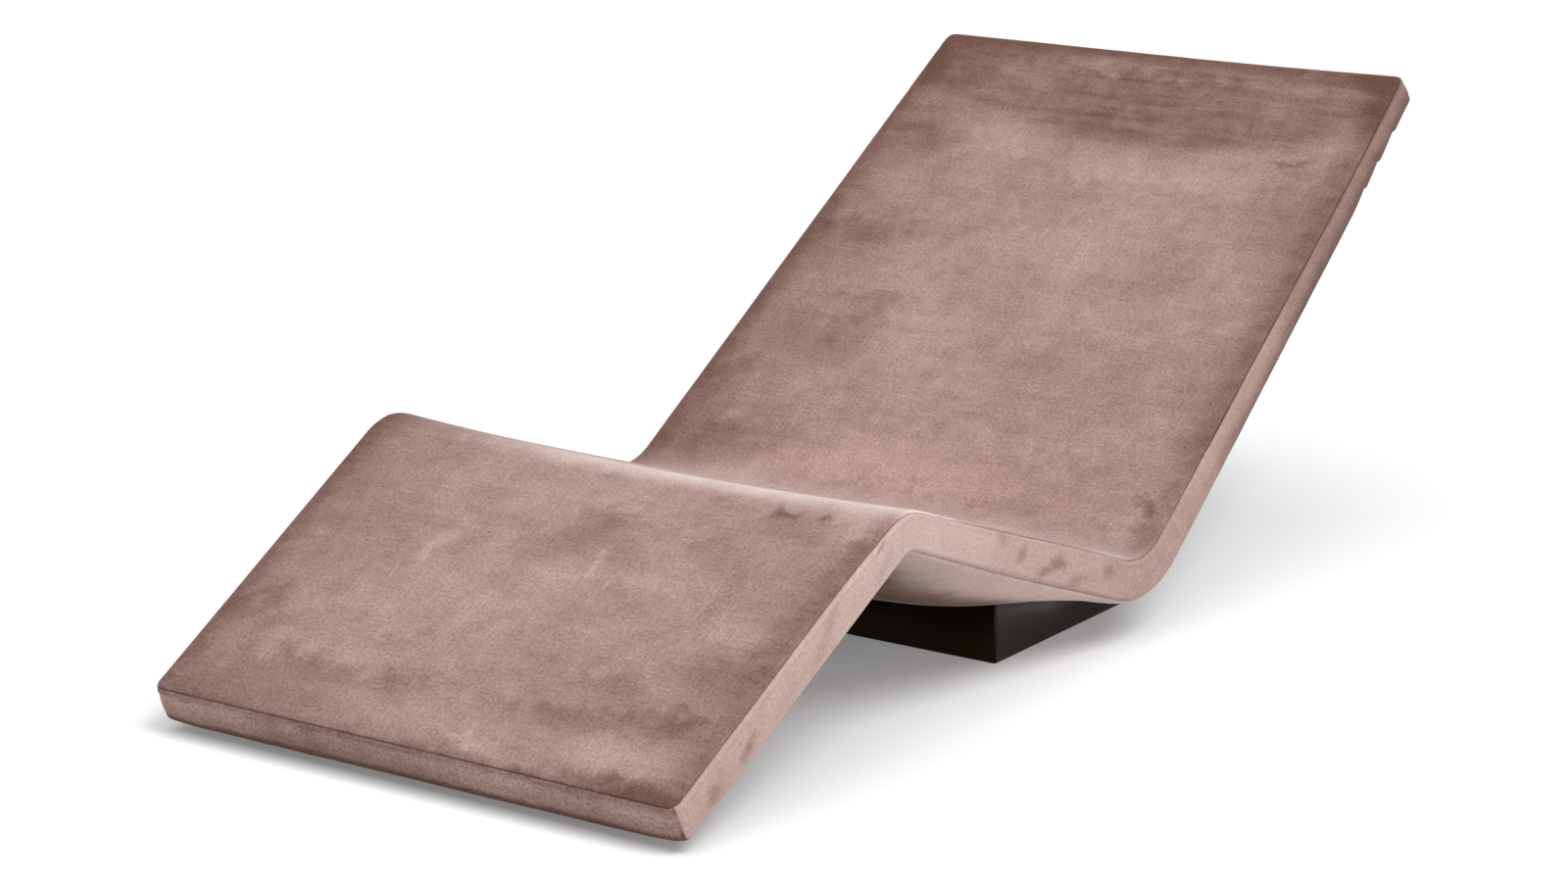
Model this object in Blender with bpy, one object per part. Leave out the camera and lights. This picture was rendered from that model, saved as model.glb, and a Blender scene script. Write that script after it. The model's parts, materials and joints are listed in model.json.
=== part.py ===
"""Upholstered lounger: a thin padded body bent at the knee and at the fold, on a dark steel plinth.

Metres, +Z up. The foot end points to -Y, the head end to +Y, and the width runs along X.
The origin is on the floor under the middle of the object's box. Left is the left of the person lying on it,
at +X.

The padded body is described by three numbers: a station along its upper line, from the foot edge to the head
edge, a place across its width, and a depth below the upper surface. Every layer is a slab in these numbers.
"""
import math

import bmesh
import bpy
from mathutils import Matrix, Vector

# Side profile of the upper line, measured between the points where the straight panels would meet
LEG_LENGTH = 0.493
SEAT_LENGTH = 0.554
BACK_LENGTH = 0.892
LEG_SLOPE = math.radians(28.8)
SEAT_SLOPE = math.radians(20.6)
BACK_SLOPE = math.radians(33.7)
KNEE_INNER_RADIUS = 0.027
FOLD_INNER_RADIUS = 0.095
FOOT_CLEARANCE = 0.012

# Width across the side bands
FOOT_WIDTH = 0.735
KNEE_WIDTH = 0.752
FOLD_WIDTH = 0.789
HEAD_WIDTH = 0.724

# Layers of the padded body, from the top down
FABRIC = 0.0015
TOP_FOAM = 0.019
STRAP_THICKNESS = 0.0015
RAIL_DEPTH = 0.020
UNDER_PADDING = 0.0085
HEAD_TOP_THINNING = 0.009
HEAD_UNDER_THINNING = 0.004
GAP = 0.0003

# Soft forms
CROWN = 0.004
EDGE_ROLL = 0.040
KNEE_DISH = 0.006
KNEE_DISH_REACH = 0.16
KNEE_DISH_FULLNESS = 2
BELLY_DEPTH = 0.054
BELLY_FULLNESS = 5
CROWN_FULLNESS = 6
BELLY_CLEARANCE = 0.0007

# Frame of steel box section and round tube
SIDE_PADDING = 0.010
END_PADDING = 0.012
RAIL_WIDTH = 0.025
RAIL_WALL = 0.002
TUBE_RADIUS = 0.009
TUBE_WALL = 0.0015
TUBE_END_MARGIN = 0.004
LUMBAR_SHARE = 0.42
SHOULDER_SHARE = 0.74

# Elastic webbing
STRAP_WIDTH = 0.060
LEG_STRAPS = 3
SEAT_STRAPS = 3
BACK_STRAPS = 5

# Plinth, placed from the point where seat and back would meet
PLINTH_WIDTH = 0.577
PLINTH_AHEAD = 0.177
PLINTH_BEHIND = 0.160
PLINTH_WALL = 0.004
PLINTH_FLANGE = 0.014
SADDLE_THICKNESS = 0.004
SADDLE_REVEAL = 0.0004
PLINTH_CLEARANCE = 0.001
COVER_CUT_REACH = 0.006

# Bearers that sit on the saddle, and the bolts through it
BEARER_SPACING = 0.340
BEARER_WIDTH = 0.030
BEARER_TUBE_SETBACK = 0.035
BOLT_RADIUS = 0.004
BOLT_HOLE_CLEARANCE = 0.0005
BOLT_HEAD_RADIUS = 0.0075
BOLT_HEAD_HEIGHT = 0.005
BOLT_GRIP = 0.016

# Levelling glides in their corner brackets
GLIDE_LIFT = 0.001
GLIDE_FOOT_RADIUS = 0.016
GLIDE_FOOT_HEIGHT = 0.007
GLIDE_SHOULDER_RADIUS = 0.011
GLIDE_SOLE_RADIUS = 0.0147
GLIDE_RIM_TOP = 0.0038
GLIDE_RIM_BOTTOM = 0.0010
GLIDE_STEM_RADIUS = 0.004
GLIDE_STEM_HEIGHT = 0.026
GLIDE_HOLE_CLEARANCE = 0.0005
GLIDE_FLANGE_CLEARANCE = 0.003
BRACKET_MARGIN = 0.026
BRACKET_CLIP = 0.020
BRACKET_THICKNESS = 0.005

# Facets
ARC_STEPS = 6
PANEL_STEPS = 4
SEAT_STEPS = 9
EDGE_SHARES = (0.25, 0.55, 1.0)
COLUMN_SHARES = (0.0, 0.40, 0.70, 0.86, 0.95, 1.0)
ROUND_STEPS = 16
SHARP_EDGE = math.radians(40)
NEAREST_STATIONS = 0.0001
WELD = 0.000001
SEARCH_STEPS = 50

# Values worked out from the sizes above
THICKNESS = 2 * FABRIC + TOP_FOAM + STRAP_THICKNESS + RAIL_DEPTH + UNDER_PADDING + 5 * GAP
KNEE_RADIUS = KNEE_INNER_RADIUS + THICKNESS
KNEE_TURN = LEG_SLOPE + SEAT_SLOPE
FOLD_TURN = SEAT_SLOPE + BACK_SLOPE
KNEE_TANGENT = KNEE_RADIUS * math.tan(KNEE_TURN / 2)
FOLD_TANGENT = FOLD_INNER_RADIUS * math.tan(FOLD_TURN / 2)
LEG_END = LEG_LENGTH - KNEE_TANGENT
SEAT_START = LEG_END + KNEE_RADIUS * KNEE_TURN
SEAT_END = SEAT_START + SEAT_LENGTH - KNEE_TANGENT - FOLD_TANGENT
BACK_START = SEAT_END + FOLD_INNER_RADIUS * FOLD_TURN
BODY_END = BACK_START + BACK_LENGTH - FOLD_TANGENT
KNEE = (LEG_END + SEAT_START) / 2
FOLD = (SEAT_END + BACK_START) / 2
COLUMNS = [-share for share in reversed(COLUMN_SHARES[1:])] + list(COLUMN_SHARES)
SKIN = FABRIC + GAP
BRACKET_EYE = PLINTH_FLANGE - PLINTH_WALL + GLIDE_FOOT_RADIUS + GLIDE_FLANGE_CLEARANCE
BRACKET_SIZE = BRACKET_EYE + BRACKET_MARGIN


# The bent line of the body

def along(direction, distance):
    return Vector((math.cos(direction), math.sin(direction))) * distance


def bend(start, slope, radius, turn):
    """Point at the end of an arc that starts along slope; a positive turn curves upwards."""
    side = math.copysign(1, turn)
    centre = start + along(slope + side * math.pi / 2, radius)
    return centre + along(slope + turn - side * math.pi / 2, radius)


def upper_line(station):
    """Place (y, z) and slope of the body's upper line, with the foot edge at (0, 0)."""
    if station <= LEG_END:
        return along(LEG_SLOPE, station), LEG_SLOPE
    knee_start = along(LEG_SLOPE, LEG_END)
    if station <= SEAT_START:
        turn = (station - LEG_END) / KNEE_RADIUS
        return bend(knee_start, LEG_SLOPE, KNEE_RADIUS, -turn), LEG_SLOPE - turn
    seat_start = bend(knee_start, LEG_SLOPE, KNEE_RADIUS, -KNEE_TURN)
    if station <= SEAT_END:
        return seat_start + along(-SEAT_SLOPE, station - SEAT_START), -SEAT_SLOPE
    seat_end = seat_start + along(-SEAT_SLOPE, SEAT_END - SEAT_START)
    if station <= BACK_START:
        turn = (station - SEAT_END) / FOLD_INNER_RADIUS
        return bend(seat_end, -SEAT_SLOPE, FOLD_INNER_RADIUS, turn), turn - SEAT_SLOPE
    back_start = bend(seat_end, -SEAT_SLOPE, FOLD_INNER_RADIUS, FOLD_TURN)
    return back_start + along(BACK_SLOPE, station - BACK_START), BACK_SLOPE


def below_line(station, depth):
    point, slope = upper_line(station)
    return point + along(slope - math.pi / 2, depth)


def thinning(station, amount):
    """What the padding loses towards the head edge."""
    return amount * max(0.0, (station - BACK_START) / (BODY_END - BACK_START))


def strap_depth(station):
    return SKIN + TOP_FOAM + GAP - thinning(station, HEAD_TOP_THINNING)


def rail_depth(station):
    return strap_depth(station) + STRAP_THICKNESS + GAP


def rail_bottom(station):
    return rail_depth(station) + RAIL_DEPTH


def thickness(station):
    return THICKNESS - thinning(station, HEAD_TOP_THINNING + HEAD_UNDER_THINNING)


SHIFT_Y = -(below_line(0, 0).x + below_line(BODY_END, thickness(BODY_END)).x) / 2
SHIFT_Z = FOOT_CLEARANCE - below_line(0, THICKNESS).y


def place(station, across, depth):
    """Point of the padded body in the object's own frame."""
    point = below_line(station, depth)
    return Vector((across, point.x + SHIFT_Y, point.y + SHIFT_Z))


def half_width(station):
    stops = [(0, FOOT_WIDTH), (KNEE, KNEE_WIDTH), (FOLD, FOLD_WIDTH), (BODY_END, HEAD_WIDTH)]
    for (start, wide), (end, next_wide) in zip(stops, stops[1:]):
        if station <= end:
            break
    return (wide + (next_wide - wide) * (station - start) / (end - start)) / 2


def station_at(y, depth):
    """Station whose point at this depth has the given y."""
    low, high = 0.0, BODY_END
    for _ in range(SEARCH_STEPS):
        middle = (low + high) / 2
        if place(middle, 0, depth).y < y:
            low = middle
        else:
            high = middle
    return (low + high) / 2


# Soft forms as depths

def across_share(station, across, fullness):
    """Share of a swelling that dies away at the side edges, straight between the columns."""
    share = min(1.0, abs(across) / half_width(station))
    for inner, outer in zip(COLUMN_SHARES, COLUMN_SHARES[1:]):
        if share <= outer:
            break
    at_inner = 1 - inner ** fullness
    at_outer = 1 - outer ** fullness
    return at_inner + (at_outer - at_inner) * (share - inner) / (outer - inner)


def end_roll(station):
    nearest = min(station, BODY_END - station)
    return math.sin(math.pi / 2 * min(1.0, max(0.0, nearest) / EDGE_ROLL))


def top_surface(station, across):
    crown = CROWN * across_share(station, across, CROWN_FULLNESS) * end_roll(station)
    reach = min(1.0, abs(station - KNEE) / KNEE_DISH_REACH)
    dish = KNEE_DISH * math.cos(math.pi / 2 * reach) ** 2
    return dish * across_share(station, across, KNEE_DISH_FULLNESS) - crown


def belly(station, across):
    share = min(1.0, max(0.0, (station - KNEE) / (FOLD - KNEE)))
    return BELLY_DEPTH * math.sin(math.pi * share) ** 2 * across_share(station, across, BELLY_FULLNESS)


def bottom_surface(station, across):
    return thickness(station) + belly(station, across)


def all_stations():
    """Stations that the bends, the rolled ends and the belly need."""
    found = [0.0, BODY_END]
    for share in EDGE_SHARES:
        found += [EDGE_ROLL * share, BODY_END - EDGE_ROLL * share]
    for start, end, steps in (
        (EDGE_ROLL, LEG_END, PANEL_STEPS),
        (LEG_END, SEAT_START, ARC_STEPS),
        (SEAT_START, SEAT_END, SEAT_STEPS),
        (SEAT_END, BACK_START, ARC_STEPS),
        (BACK_START, BODY_END - EDGE_ROLL, PANEL_STEPS),
    ):
        found += [start + (end - start) * step / steps for step in range(steps + 1)]
    return found


STATIONS = all_stations()


def stations_between(start, end):
    inner = [s for s in STATIONS if start + NEAREST_STATIONS < s < end - NEAREST_STATIONS]
    found = [start]
    for station in sorted(inner) + [end]:
        if station - found[-1] > NEAREST_STATIONS:
            found.append(station)
    return found


# Scene and finishes

for old in list(bpy.data.objects):
    bpy.data.objects.remove(old, do_unlink=True)

LOUNGER = bpy.data.collections.new("lounger")
CUTTERS = bpy.data.collections.new("cutters")
for collection in (LOUNGER, CUTTERS):
    bpy.context.scene.collection.children.link(collection)
ORIGIN = bpy.data.objects.new("lounger_origin", None)
LOUNGER.objects.link(ORIGIN)

FINISHES = {
    "velvet": ((0.33, 0.215, 0.19), 0.85, 0.0),
    "foam": ((0.80, 0.76, 0.62), 0.95, 0.0),
    "webbing": ((0.10, 0.09, 0.08), 0.90, 0.0),
    "frame_steel": ((0.12, 0.12, 0.13), 0.50, 0.9),
    "plinth_lacquer": ((0.020, 0.016, 0.013), 0.40, 0.6),
    "zinc": ((0.62, 0.62, 0.64), 0.35, 1.0),
    "glide_nylon": ((0.03, 0.03, 0.03), 0.60, 0.0),
}


def finish(name, kind):
    colour, roughness, metallic = FINISHES[kind]
    material = bpy.data.materials.new(name + "_finish")
    material.use_nodes = True
    shader = material.node_tree.nodes["Principled BSDF"]
    shader.inputs["Base Color"].default_value = (*colour, 1.0)
    shader.inputs["Roughness"].default_value = roughness
    shader.inputs["Metallic"].default_value = metallic
    return material


def add_part(name, mesh, kind, matrix=Matrix.Identity(4)):
    part = bpy.data.objects.new(name, mesh)
    LOUNGER.objects.link(part)
    part.parent = ORIGIN
    part.matrix_world = matrix
    mesh.materials.append(finish(name, kind))
    return part


def add_cutter(name, mesh, matrix=Matrix.Identity(4)):
    cutter = bpy.data.objects.new(name, mesh)
    CUTTERS.objects.link(cutter)
    cutter.matrix_world = matrix
    cutter.hide_render = True
    cutter.display_type = "WIRE"
    return cutter


def cut(part, cutter, solver="EXACT"):
    step = part.modifiers.new(cutter.name, "BOOLEAN")
    step.operation = "DIFFERENCE"
    step.solver = solver
    step.object = cutter


# Shapes

def slab(name, stations, columns, upper, lower):
    """Closed layer of the padded body between two depths.

    columns holds one function per column, from a station to a place across the width.
    Every cell is split along the same diagonal, so that stacked layers stay parallel.
    """
    shape = bmesh.new()
    row = shape.verts.layers.int.new("row")
    column = shape.verts.layers.int.new("column")
    rows, breadth = len(stations) - 1, len(columns) - 1
    grid = bmesh.ops.create_grid(shape, x_segments=breadth, y_segments=rows, size=1)
    for vert in grid["verts"]:
        vert[column] = round((vert.co.x + 1) / 2 * breadth)
        vert[row] = round((vert.co.y + 1) / 2 * rows)
    far_side = bmesh.ops.extrude_face_region(shape, geom=shape.faces[:])
    deep = {item for item in far_side["geom"] if isinstance(item, bmesh.types.BMVert)}
    for vert in shape.verts:
        station = stations[vert[row]]
        across = columns[vert[column]](station)
        depth = lower(station, across) if vert in deep else upper(station, across)
        vert.co = place(station, across, depth)
    for face in shape.faces[:]:
        order = sorted(face.verts, key=lambda vert: vert[row] + vert[column])
        first, last = order[0], order[-1]
        if last[row] > first[row] and last[column] > first[column]:
            bmesh.utils.face_split(face, first, last)
    bmesh.ops.recalc_face_normals(shape, faces=shape.faces[:])
    mesh = bpy.data.meshes.new(name)
    shape.to_mesh(mesh)
    shape.free()
    return mesh


def full_width(inset):
    """Columns over the whole width, ending short of the side edge by inset."""
    def column(share):
        if abs(share) < 1:
            return lambda station: share * half_width(station)
        return lambda station: share * (half_width(station) - inset)
    return [column(share) for share in COLUMNS]


def flat_width(inset):
    return [lambda station, side=side: side * (half_width(station) - inset) for side in (-1, 1)]


def side_strip(side, outer_inset, inner_inset):
    insets = (outer_inset, inner_inset)
    return [lambda station, inset=inset: side * (half_width(station) - inset) for inset in insets]


def fixed_strip(middle, width):
    return [lambda station, edge=middle + shift: edge for shift in (-width / 2, width / 2)]


def deeper(depth, extra):
    return lambda station, across=0: depth(station) + extra


def plate(name, outline, thickness_of_plate, matrix):
    """Mesh of a flat outline, given as points in the plane of matrix, with an even thickness about it."""
    curve = bpy.data.curves.new(name + "_outline", "CURVE")
    curve.dimensions = "2D"
    curve.fill_mode = "BOTH"
    curve.extrude = thickness_of_plate / 2
    spline = curve.splines.new("POLY")
    spline.points.add(len(outline) - 1)
    for point, (u, v) in zip(spline.points, outline):
        point.co = (u, v, 0, 1)
    spline.use_cyclic_u = True
    guide = bpy.data.objects.new(name + "_outline", curve)
    CUTTERS.objects.link(guide)
    view = bpy.context.evaluated_depsgraph_get()
    mesh = bpy.data.meshes.new_from_object(guide.evaluated_get(view))
    bpy.data.objects.remove(guide, do_unlink=True)
    shape = bmesh.new()
    shape.from_mesh(mesh)
    bmesh.ops.remove_doubles(shape, verts=shape.verts[:], dist=WELD)
    bmesh.ops.recalc_face_normals(shape, faces=shape.faces[:])
    shape.transform(matrix)
    shape.to_mesh(mesh)
    shape.free()
    mesh.name = name
    return mesh


def side_plane(across):
    """Plane with u along Y and v along Z, standing at a place across the width."""
    return Matrix(((0, 0, 1, across), (1, 0, 0, 0), (0, 1, 0, 0), (0, 0, 0, 1)))


def floor_plane(height):
    return Matrix.Translation((0, 0, height))


def turned(name, profile):
    """Turned mesh round Z from (radius, height) points that run down its outer side."""
    shape = bmesh.new()
    points = [shape.verts.new((radius, 0, height)) for radius, height in profile]
    rim = [shape.edges.new(pair) for pair in zip(points, points[1:])]
    bmesh.ops.spin(
        shape,
        geom=points + rim,
        axis=(0, 0, 1),
        cent=(0, 0, 0),
        steps=ROUND_STEPS,
        angle=2 * math.pi,
        use_merge=True,
    )
    bmesh.ops.remove_doubles(shape, verts=shape.verts[:], dist=WELD)
    bmesh.ops.recalc_face_normals(shape, faces=shape.faces[:])
    mesh = bpy.data.meshes.new(name)
    shape.to_mesh(mesh)
    shape.free()
    mesh.shade_smooth()
    mesh.set_sharp_from_angle(angle=SHARP_EDGE)
    return mesh


def rod(name, radius, low, high):
    return turned(name, [(0, high), (radius, high), (radius, low), (0, low)])


# Cover: top panel, bands round the edge, and three panels underneath

def make_cover():
    whole = stations_between(0, BODY_END)
    band_top = deeper(lambda station: SKIN, 0)
    band_bottom = deeper(thickness, -SKIN)
    add_part("cover_top", slab(
        "cover_top", whole, full_width(0), top_surface,
        lambda station, across: top_surface(station, across) + FABRIC), "velvet")
    for side, hand in ((1, "left"), (-1, "right")):
        name = "cover_side_" + hand
        add_part(name, slab(name, whole, side_strip(side, 0, FABRIC), band_top, band_bottom), "velvet")
    for name, start in (("cover_foot_band", 0), ("cover_head_band", BODY_END - FABRIC)):
        add_part(name, slab(name, [start, start + FABRIC], flat_width(SKIN), band_top, band_bottom), "velvet")
    under_inner = deeper(thickness, -FABRIC)
    add_part("cover_leg_under", slab(
        "cover_leg_under", stations_between(0, KNEE - GAP), flat_width(0),
        under_inner, deeper(thickness, 0)), "velvet")
    seat = add_part("cover_seat_under", slab(
        "cover_seat_under", stations_between(KNEE, FOLD - GAP), full_width(0),
        lambda station, across: bottom_surface(station, across) - FABRIC, bottom_surface), "velvet")
    back = add_part("cover_back_under", slab(
        "cover_back_under", stations_between(FOLD, BODY_END), flat_width(0),
        under_inner, deeper(thickness, 0)), "velvet")
    return seat, back


# Padding: three foams wrap the frame from above, three pads close it from below

def inside_belly(station, across):
    return bottom_surface(station, across) - FABRIC - BELLY_CLEARANCE


def make_padding():
    ends = {
        "leg": (SKIN, KNEE - GAP),
        "seat": (KNEE, FOLD - GAP),
        "back": (FOLD, BODY_END - SKIN),
    }
    pocket = add_cutter("frame_pocket", slab(
        "frame_pocket",
        stations_between(SKIN + END_PADDING, BODY_END - SKIN - END_PADDING),
        flat_width(SKIN + SIDE_PADDING),
        deeper(strap_depth, -GAP),
        deeper(thickness, 0)))
    pads = {}
    for panel, (start, end) in ends.items():
        stations = stations_between(start, end)
        foam = add_part(panel + "_foam", slab(
            panel + "_foam", stations, full_width(SKIN),
            lambda station, across: top_surface(station, across) + SKIN, deeper(rail_bottom, 0)), "foam")
        cut(foam, pocket)
        name = panel + "_under_padding"
        columns = full_width(SKIN) if panel == "seat" else flat_width(SKIN)
        lower = inside_belly if panel == "seat" else deeper(thickness, -SKIN)
        pads[panel] = add_part(name, slab(name, stations, columns, deeper(rail_bottom, GAP), lower), "foam")
    return pads["seat"], pads["back"]


# Frame: two bent rails, seven cross tubes, and elastic straps over the rails

RAIL_INSET = SKIN + SIDE_PADDING + GAP
FRAME_START = SKIN + END_PADDING + GAP
FRAME_END = BODY_END - FRAME_START


def make_rails():
    stations = stations_between(FRAME_START, FRAME_END)
    past_ends = [FRAME_START - RAIL_WALL] + stations + [FRAME_END + RAIL_WALL]
    for side, hand in ((1, "left"), (-1, "right")):
        name = "side_rail_" + hand
        outer = side_strip(side, RAIL_INSET, RAIL_INSET + RAIL_WIDTH)
        inner = side_strip(side, RAIL_INSET + RAIL_WALL, RAIL_INSET + RAIL_WIDTH - RAIL_WALL)
        rail = add_part(name, slab(
            name, stations, outer, deeper(rail_depth, 0), deeper(rail_bottom, 0)), "frame_steel")
        hollow = name + "_hollow"
        cut(rail, add_cutter(hollow, slab(
            hollow, past_ends, inner, deeper(rail_depth, RAIL_WALL), deeper(rail_bottom, -RAIL_WALL))))


def cross_tube(name, station):
    """Open round tube between the rails, square to the width."""
    reach = min(half_width(station - TUBE_RADIUS), half_width(station + TUBE_RADIUS))
    half_length = reach - RAIL_INSET - RAIL_WIDTH - GAP
    inner = TUBE_RADIUS - TUBE_WALL
    mesh = turned(name, [
        (inner, half_length),
        (TUBE_RADIUS, half_length),
        (TUBE_RADIUS, -half_length),
        (inner, -half_length),
        (inner, half_length),
    ])
    middle = place(station, 0, rail_depth(station) + RAIL_DEPTH / 2)
    add_part(name, mesh, "frame_steel", Matrix.Translation(middle) @ Matrix.Rotation(math.pi / 2, 4, "Y"))


def strap(name, station):
    mesh = slab(
        name, [station - STRAP_WIDTH / 2, station + STRAP_WIDTH / 2], flat_width(RAIL_INSET),
        deeper(strap_depth, 0), deeper(strap_depth, STRAP_THICKNESS))
    add_part(name, mesh, "webbing")


def make_suspension():
    for panel, start, end, count in (
        ("leg", FRAME_START, LEG_END, LEG_STRAPS),
        ("seat", SEAT_START, SEAT_END, SEAT_STRAPS),
        ("back", BACK_START, FRAME_END, BACK_STRAPS),
    ):
        pitch = (end - start) / count
        for number in range(count):
            strap(f"{panel}_strap_{number + 1}", start + pitch / 2 + pitch * number)


# Plinth: four panels and a bent saddle that the frame's bearers sit on

FOLD_Y = place(0, 0, 0).y + LEG_LENGTH * math.cos(LEG_SLOPE) + SEAT_LENGTH * math.cos(SEAT_SLOPE)
PLINTH_FRONT = FOLD_Y - PLINTH_AHEAD
PLINTH_REAR = FOLD_Y + PLINTH_BEHIND
PLINTH_HALF = PLINTH_WIDTH / 2


def saddle_depth(station):
    return thickness(station) - FABRIC + SADDLE_REVEAL


def saddle_height(y):
    station = station_at(y, saddle_depth(station_at(y, THICKNESS)))
    return place(station, 0, saddle_depth(station)).z


def plinth_outline(front, rear, lift, floor):
    """Side view of the plinth: flat on the floor, with its top along the bent underside of the body."""
    start = station_at(front, saddle_depth(FOLD) - lift)
    end = station_at(rear, saddle_depth(station_at(rear, THICKNESS)) - lift)
    points = [(front, floor), (rear, floor)]
    for station in reversed(stations_between(start, end)):
        point = place(station, 0, saddle_depth(station) - lift)
        points.append((min(max(point.y, front), rear), point.z))
    return points


def make_plinth():
    outline = plinth_outline(PLINTH_FRONT, PLINTH_REAR, 0, 0)
    for side, hand in ((1, "left"), (-1, "right")):
        name = "plinth_" + hand
        middle = side * (PLINTH_HALF - PLINTH_WALL / 2)
        add_part(name, plate(name, outline, PLINTH_WALL, side_plane(middle)), "plinth_lacquer")
    inside = 2 * (PLINTH_HALF - PLINTH_WALL - GAP)
    for name, face, inward in (("plinth_front", PLINTH_FRONT, 1), ("plinth_rear", PLINTH_REAR, -1)):
        inner = face + inward * PLINTH_WALL
        lip = face + inward * PLINTH_FLANGE
        top = min(saddle_height(face), saddle_height(inner))
        angle = [(face, 0), (lip, 0), (lip, PLINTH_WALL), (inner, PLINTH_WALL), (inner, top), (face, top)]
        add_part(name, plate(name, angle, inside, side_plane(0)), "plinth_lacquer")
    start = station_at(PLINTH_FRONT + PLINTH_WALL + GAP, THICKNESS + SADDLE_THICKNESS)
    end = station_at(PLINTH_REAR - PLINTH_WALL - GAP, THICKNESS + SADDLE_THICKNESS)
    return add_part("plinth_saddle", slab(
        "plinth_saddle", stations_between(start, end), fixed_strip(0, inside),
        deeper(saddle_depth, 0), deeper(saddle_depth, SADDLE_THICKNESS)), "frame_steel")


def plinth_cutter(name, lift):
    front = PLINTH_FRONT - PLINTH_CLEARANCE
    rear = PLINTH_REAR + PLINTH_CLEARANCE
    outline = plinth_outline(front, rear, lift, -FOOT_CLEARANCE)
    return add_cutter(name, plate(name, outline, PLINTH_WIDTH + 2 * PLINTH_CLEARANCE, side_plane(0)))


SEAT_TUBE = station_at(PLINTH_FRONT + BEARER_TUBE_SETBACK, THICKNESS)
ROOT_TUBE = station_at(PLINTH_REAR - BEARER_TUBE_SETBACK, THICKNESS)


def make_cross_tubes():
    back_run = FRAME_END - BACK_START
    cross_tube("foot_tube", FRAME_START + TUBE_END_MARGIN + TUBE_RADIUS)
    cross_tube("knee_tube", KNEE)
    cross_tube("seat_tube", SEAT_TUBE)
    cross_tube("root_tube", ROOT_TUBE)
    cross_tube("lumbar_tube", BACK_START + back_run * LUMBAR_SHARE)
    cross_tube("shoulder_tube", BACK_START + back_run * SHOULDER_SHARE)
    cross_tube("head_tube", FRAME_END - TUBE_END_MARGIN - TUBE_RADIUS)


def bearer_slot(name, start, end, across):
    """Cutter for the way of a bearer through the under padding, drawn as one side view."""
    stations = stations_between(start - GAP, end + GAP)
    over = [place(station, across, rail_bottom(station) - RAIL_WALL) for station in stations]
    under = [place(station, across, thickness(station) + RAIL_WALL) for station in stations]
    outline = [(point.y, point.z) for point in over + under[::-1]]
    return add_cutter(name, plate(name, outline, BEARER_WIDTH + 2 * GAP, side_plane(across)))


def bolt_matrix(station, across):
    """Frame of a bolt under the saddle, with its shank up along the body's own normal."""
    point = place(station, across, saddle_depth(station) + SADDLE_THICKNESS + GAP)
    slope = upper_line(station)[1]
    return Matrix.Translation(point) @ Matrix.Rotation(slope, 4, "X")


def make_bearers(saddle, seat_pad, back_pad):
    start = SEAT_TUBE + TUBE_RADIUS + GAP
    end = ROOT_TUBE - TUBE_RADIUS - GAP
    shank = BOLT_GRIP + SADDLE_THICKNESS + GAP
    hole = BOLT_RADIUS + BOLT_HOLE_CLEARANCE
    bolt_stations = ((start + SEAT_END) / 2, (BACK_START + end) / 2)
    for side, hand in ((1, "left"), (-1, "right")):
        across = side * BEARER_SPACING / 2
        name = "bearer_" + hand
        bearer = add_part(name, slab(
            name, stations_between(start, end), fixed_strip(across, BEARER_WIDTH),
            deeper(rail_depth, GAP), deeper(saddle_depth, -GAP)), "frame_steel")
        slot = bearer_slot(name + "_slot", start, end, across)
        cut(seat_pad, slot, "MANIFOLD")
        cut(back_pad, slot, "MANIFOLD")
        for where, station in zip(("seat", "back"), bolt_stations):
            label = f"bolt_{where}_{hand}"
            matrix = bolt_matrix(station, across)
            add_part(label, turned(label, [
                (0, shank),
                (BOLT_RADIUS, shank),
                (BOLT_RADIUS, 0),
                (BOLT_HEAD_RADIUS, 0),
                (BOLT_HEAD_RADIUS, -BOLT_HEAD_HEIGHT),
                (0, -BOLT_HEAD_HEIGHT),
            ]), "zinc", matrix)
            drill = add_cutter(label + "_hole", rod(label + "_hole", hole, -2 * GAP, shank + GAP), matrix)
            cut(bearer, drill)
            cut(saddle, drill)


# Levelling glides in the plinth's corners

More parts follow.
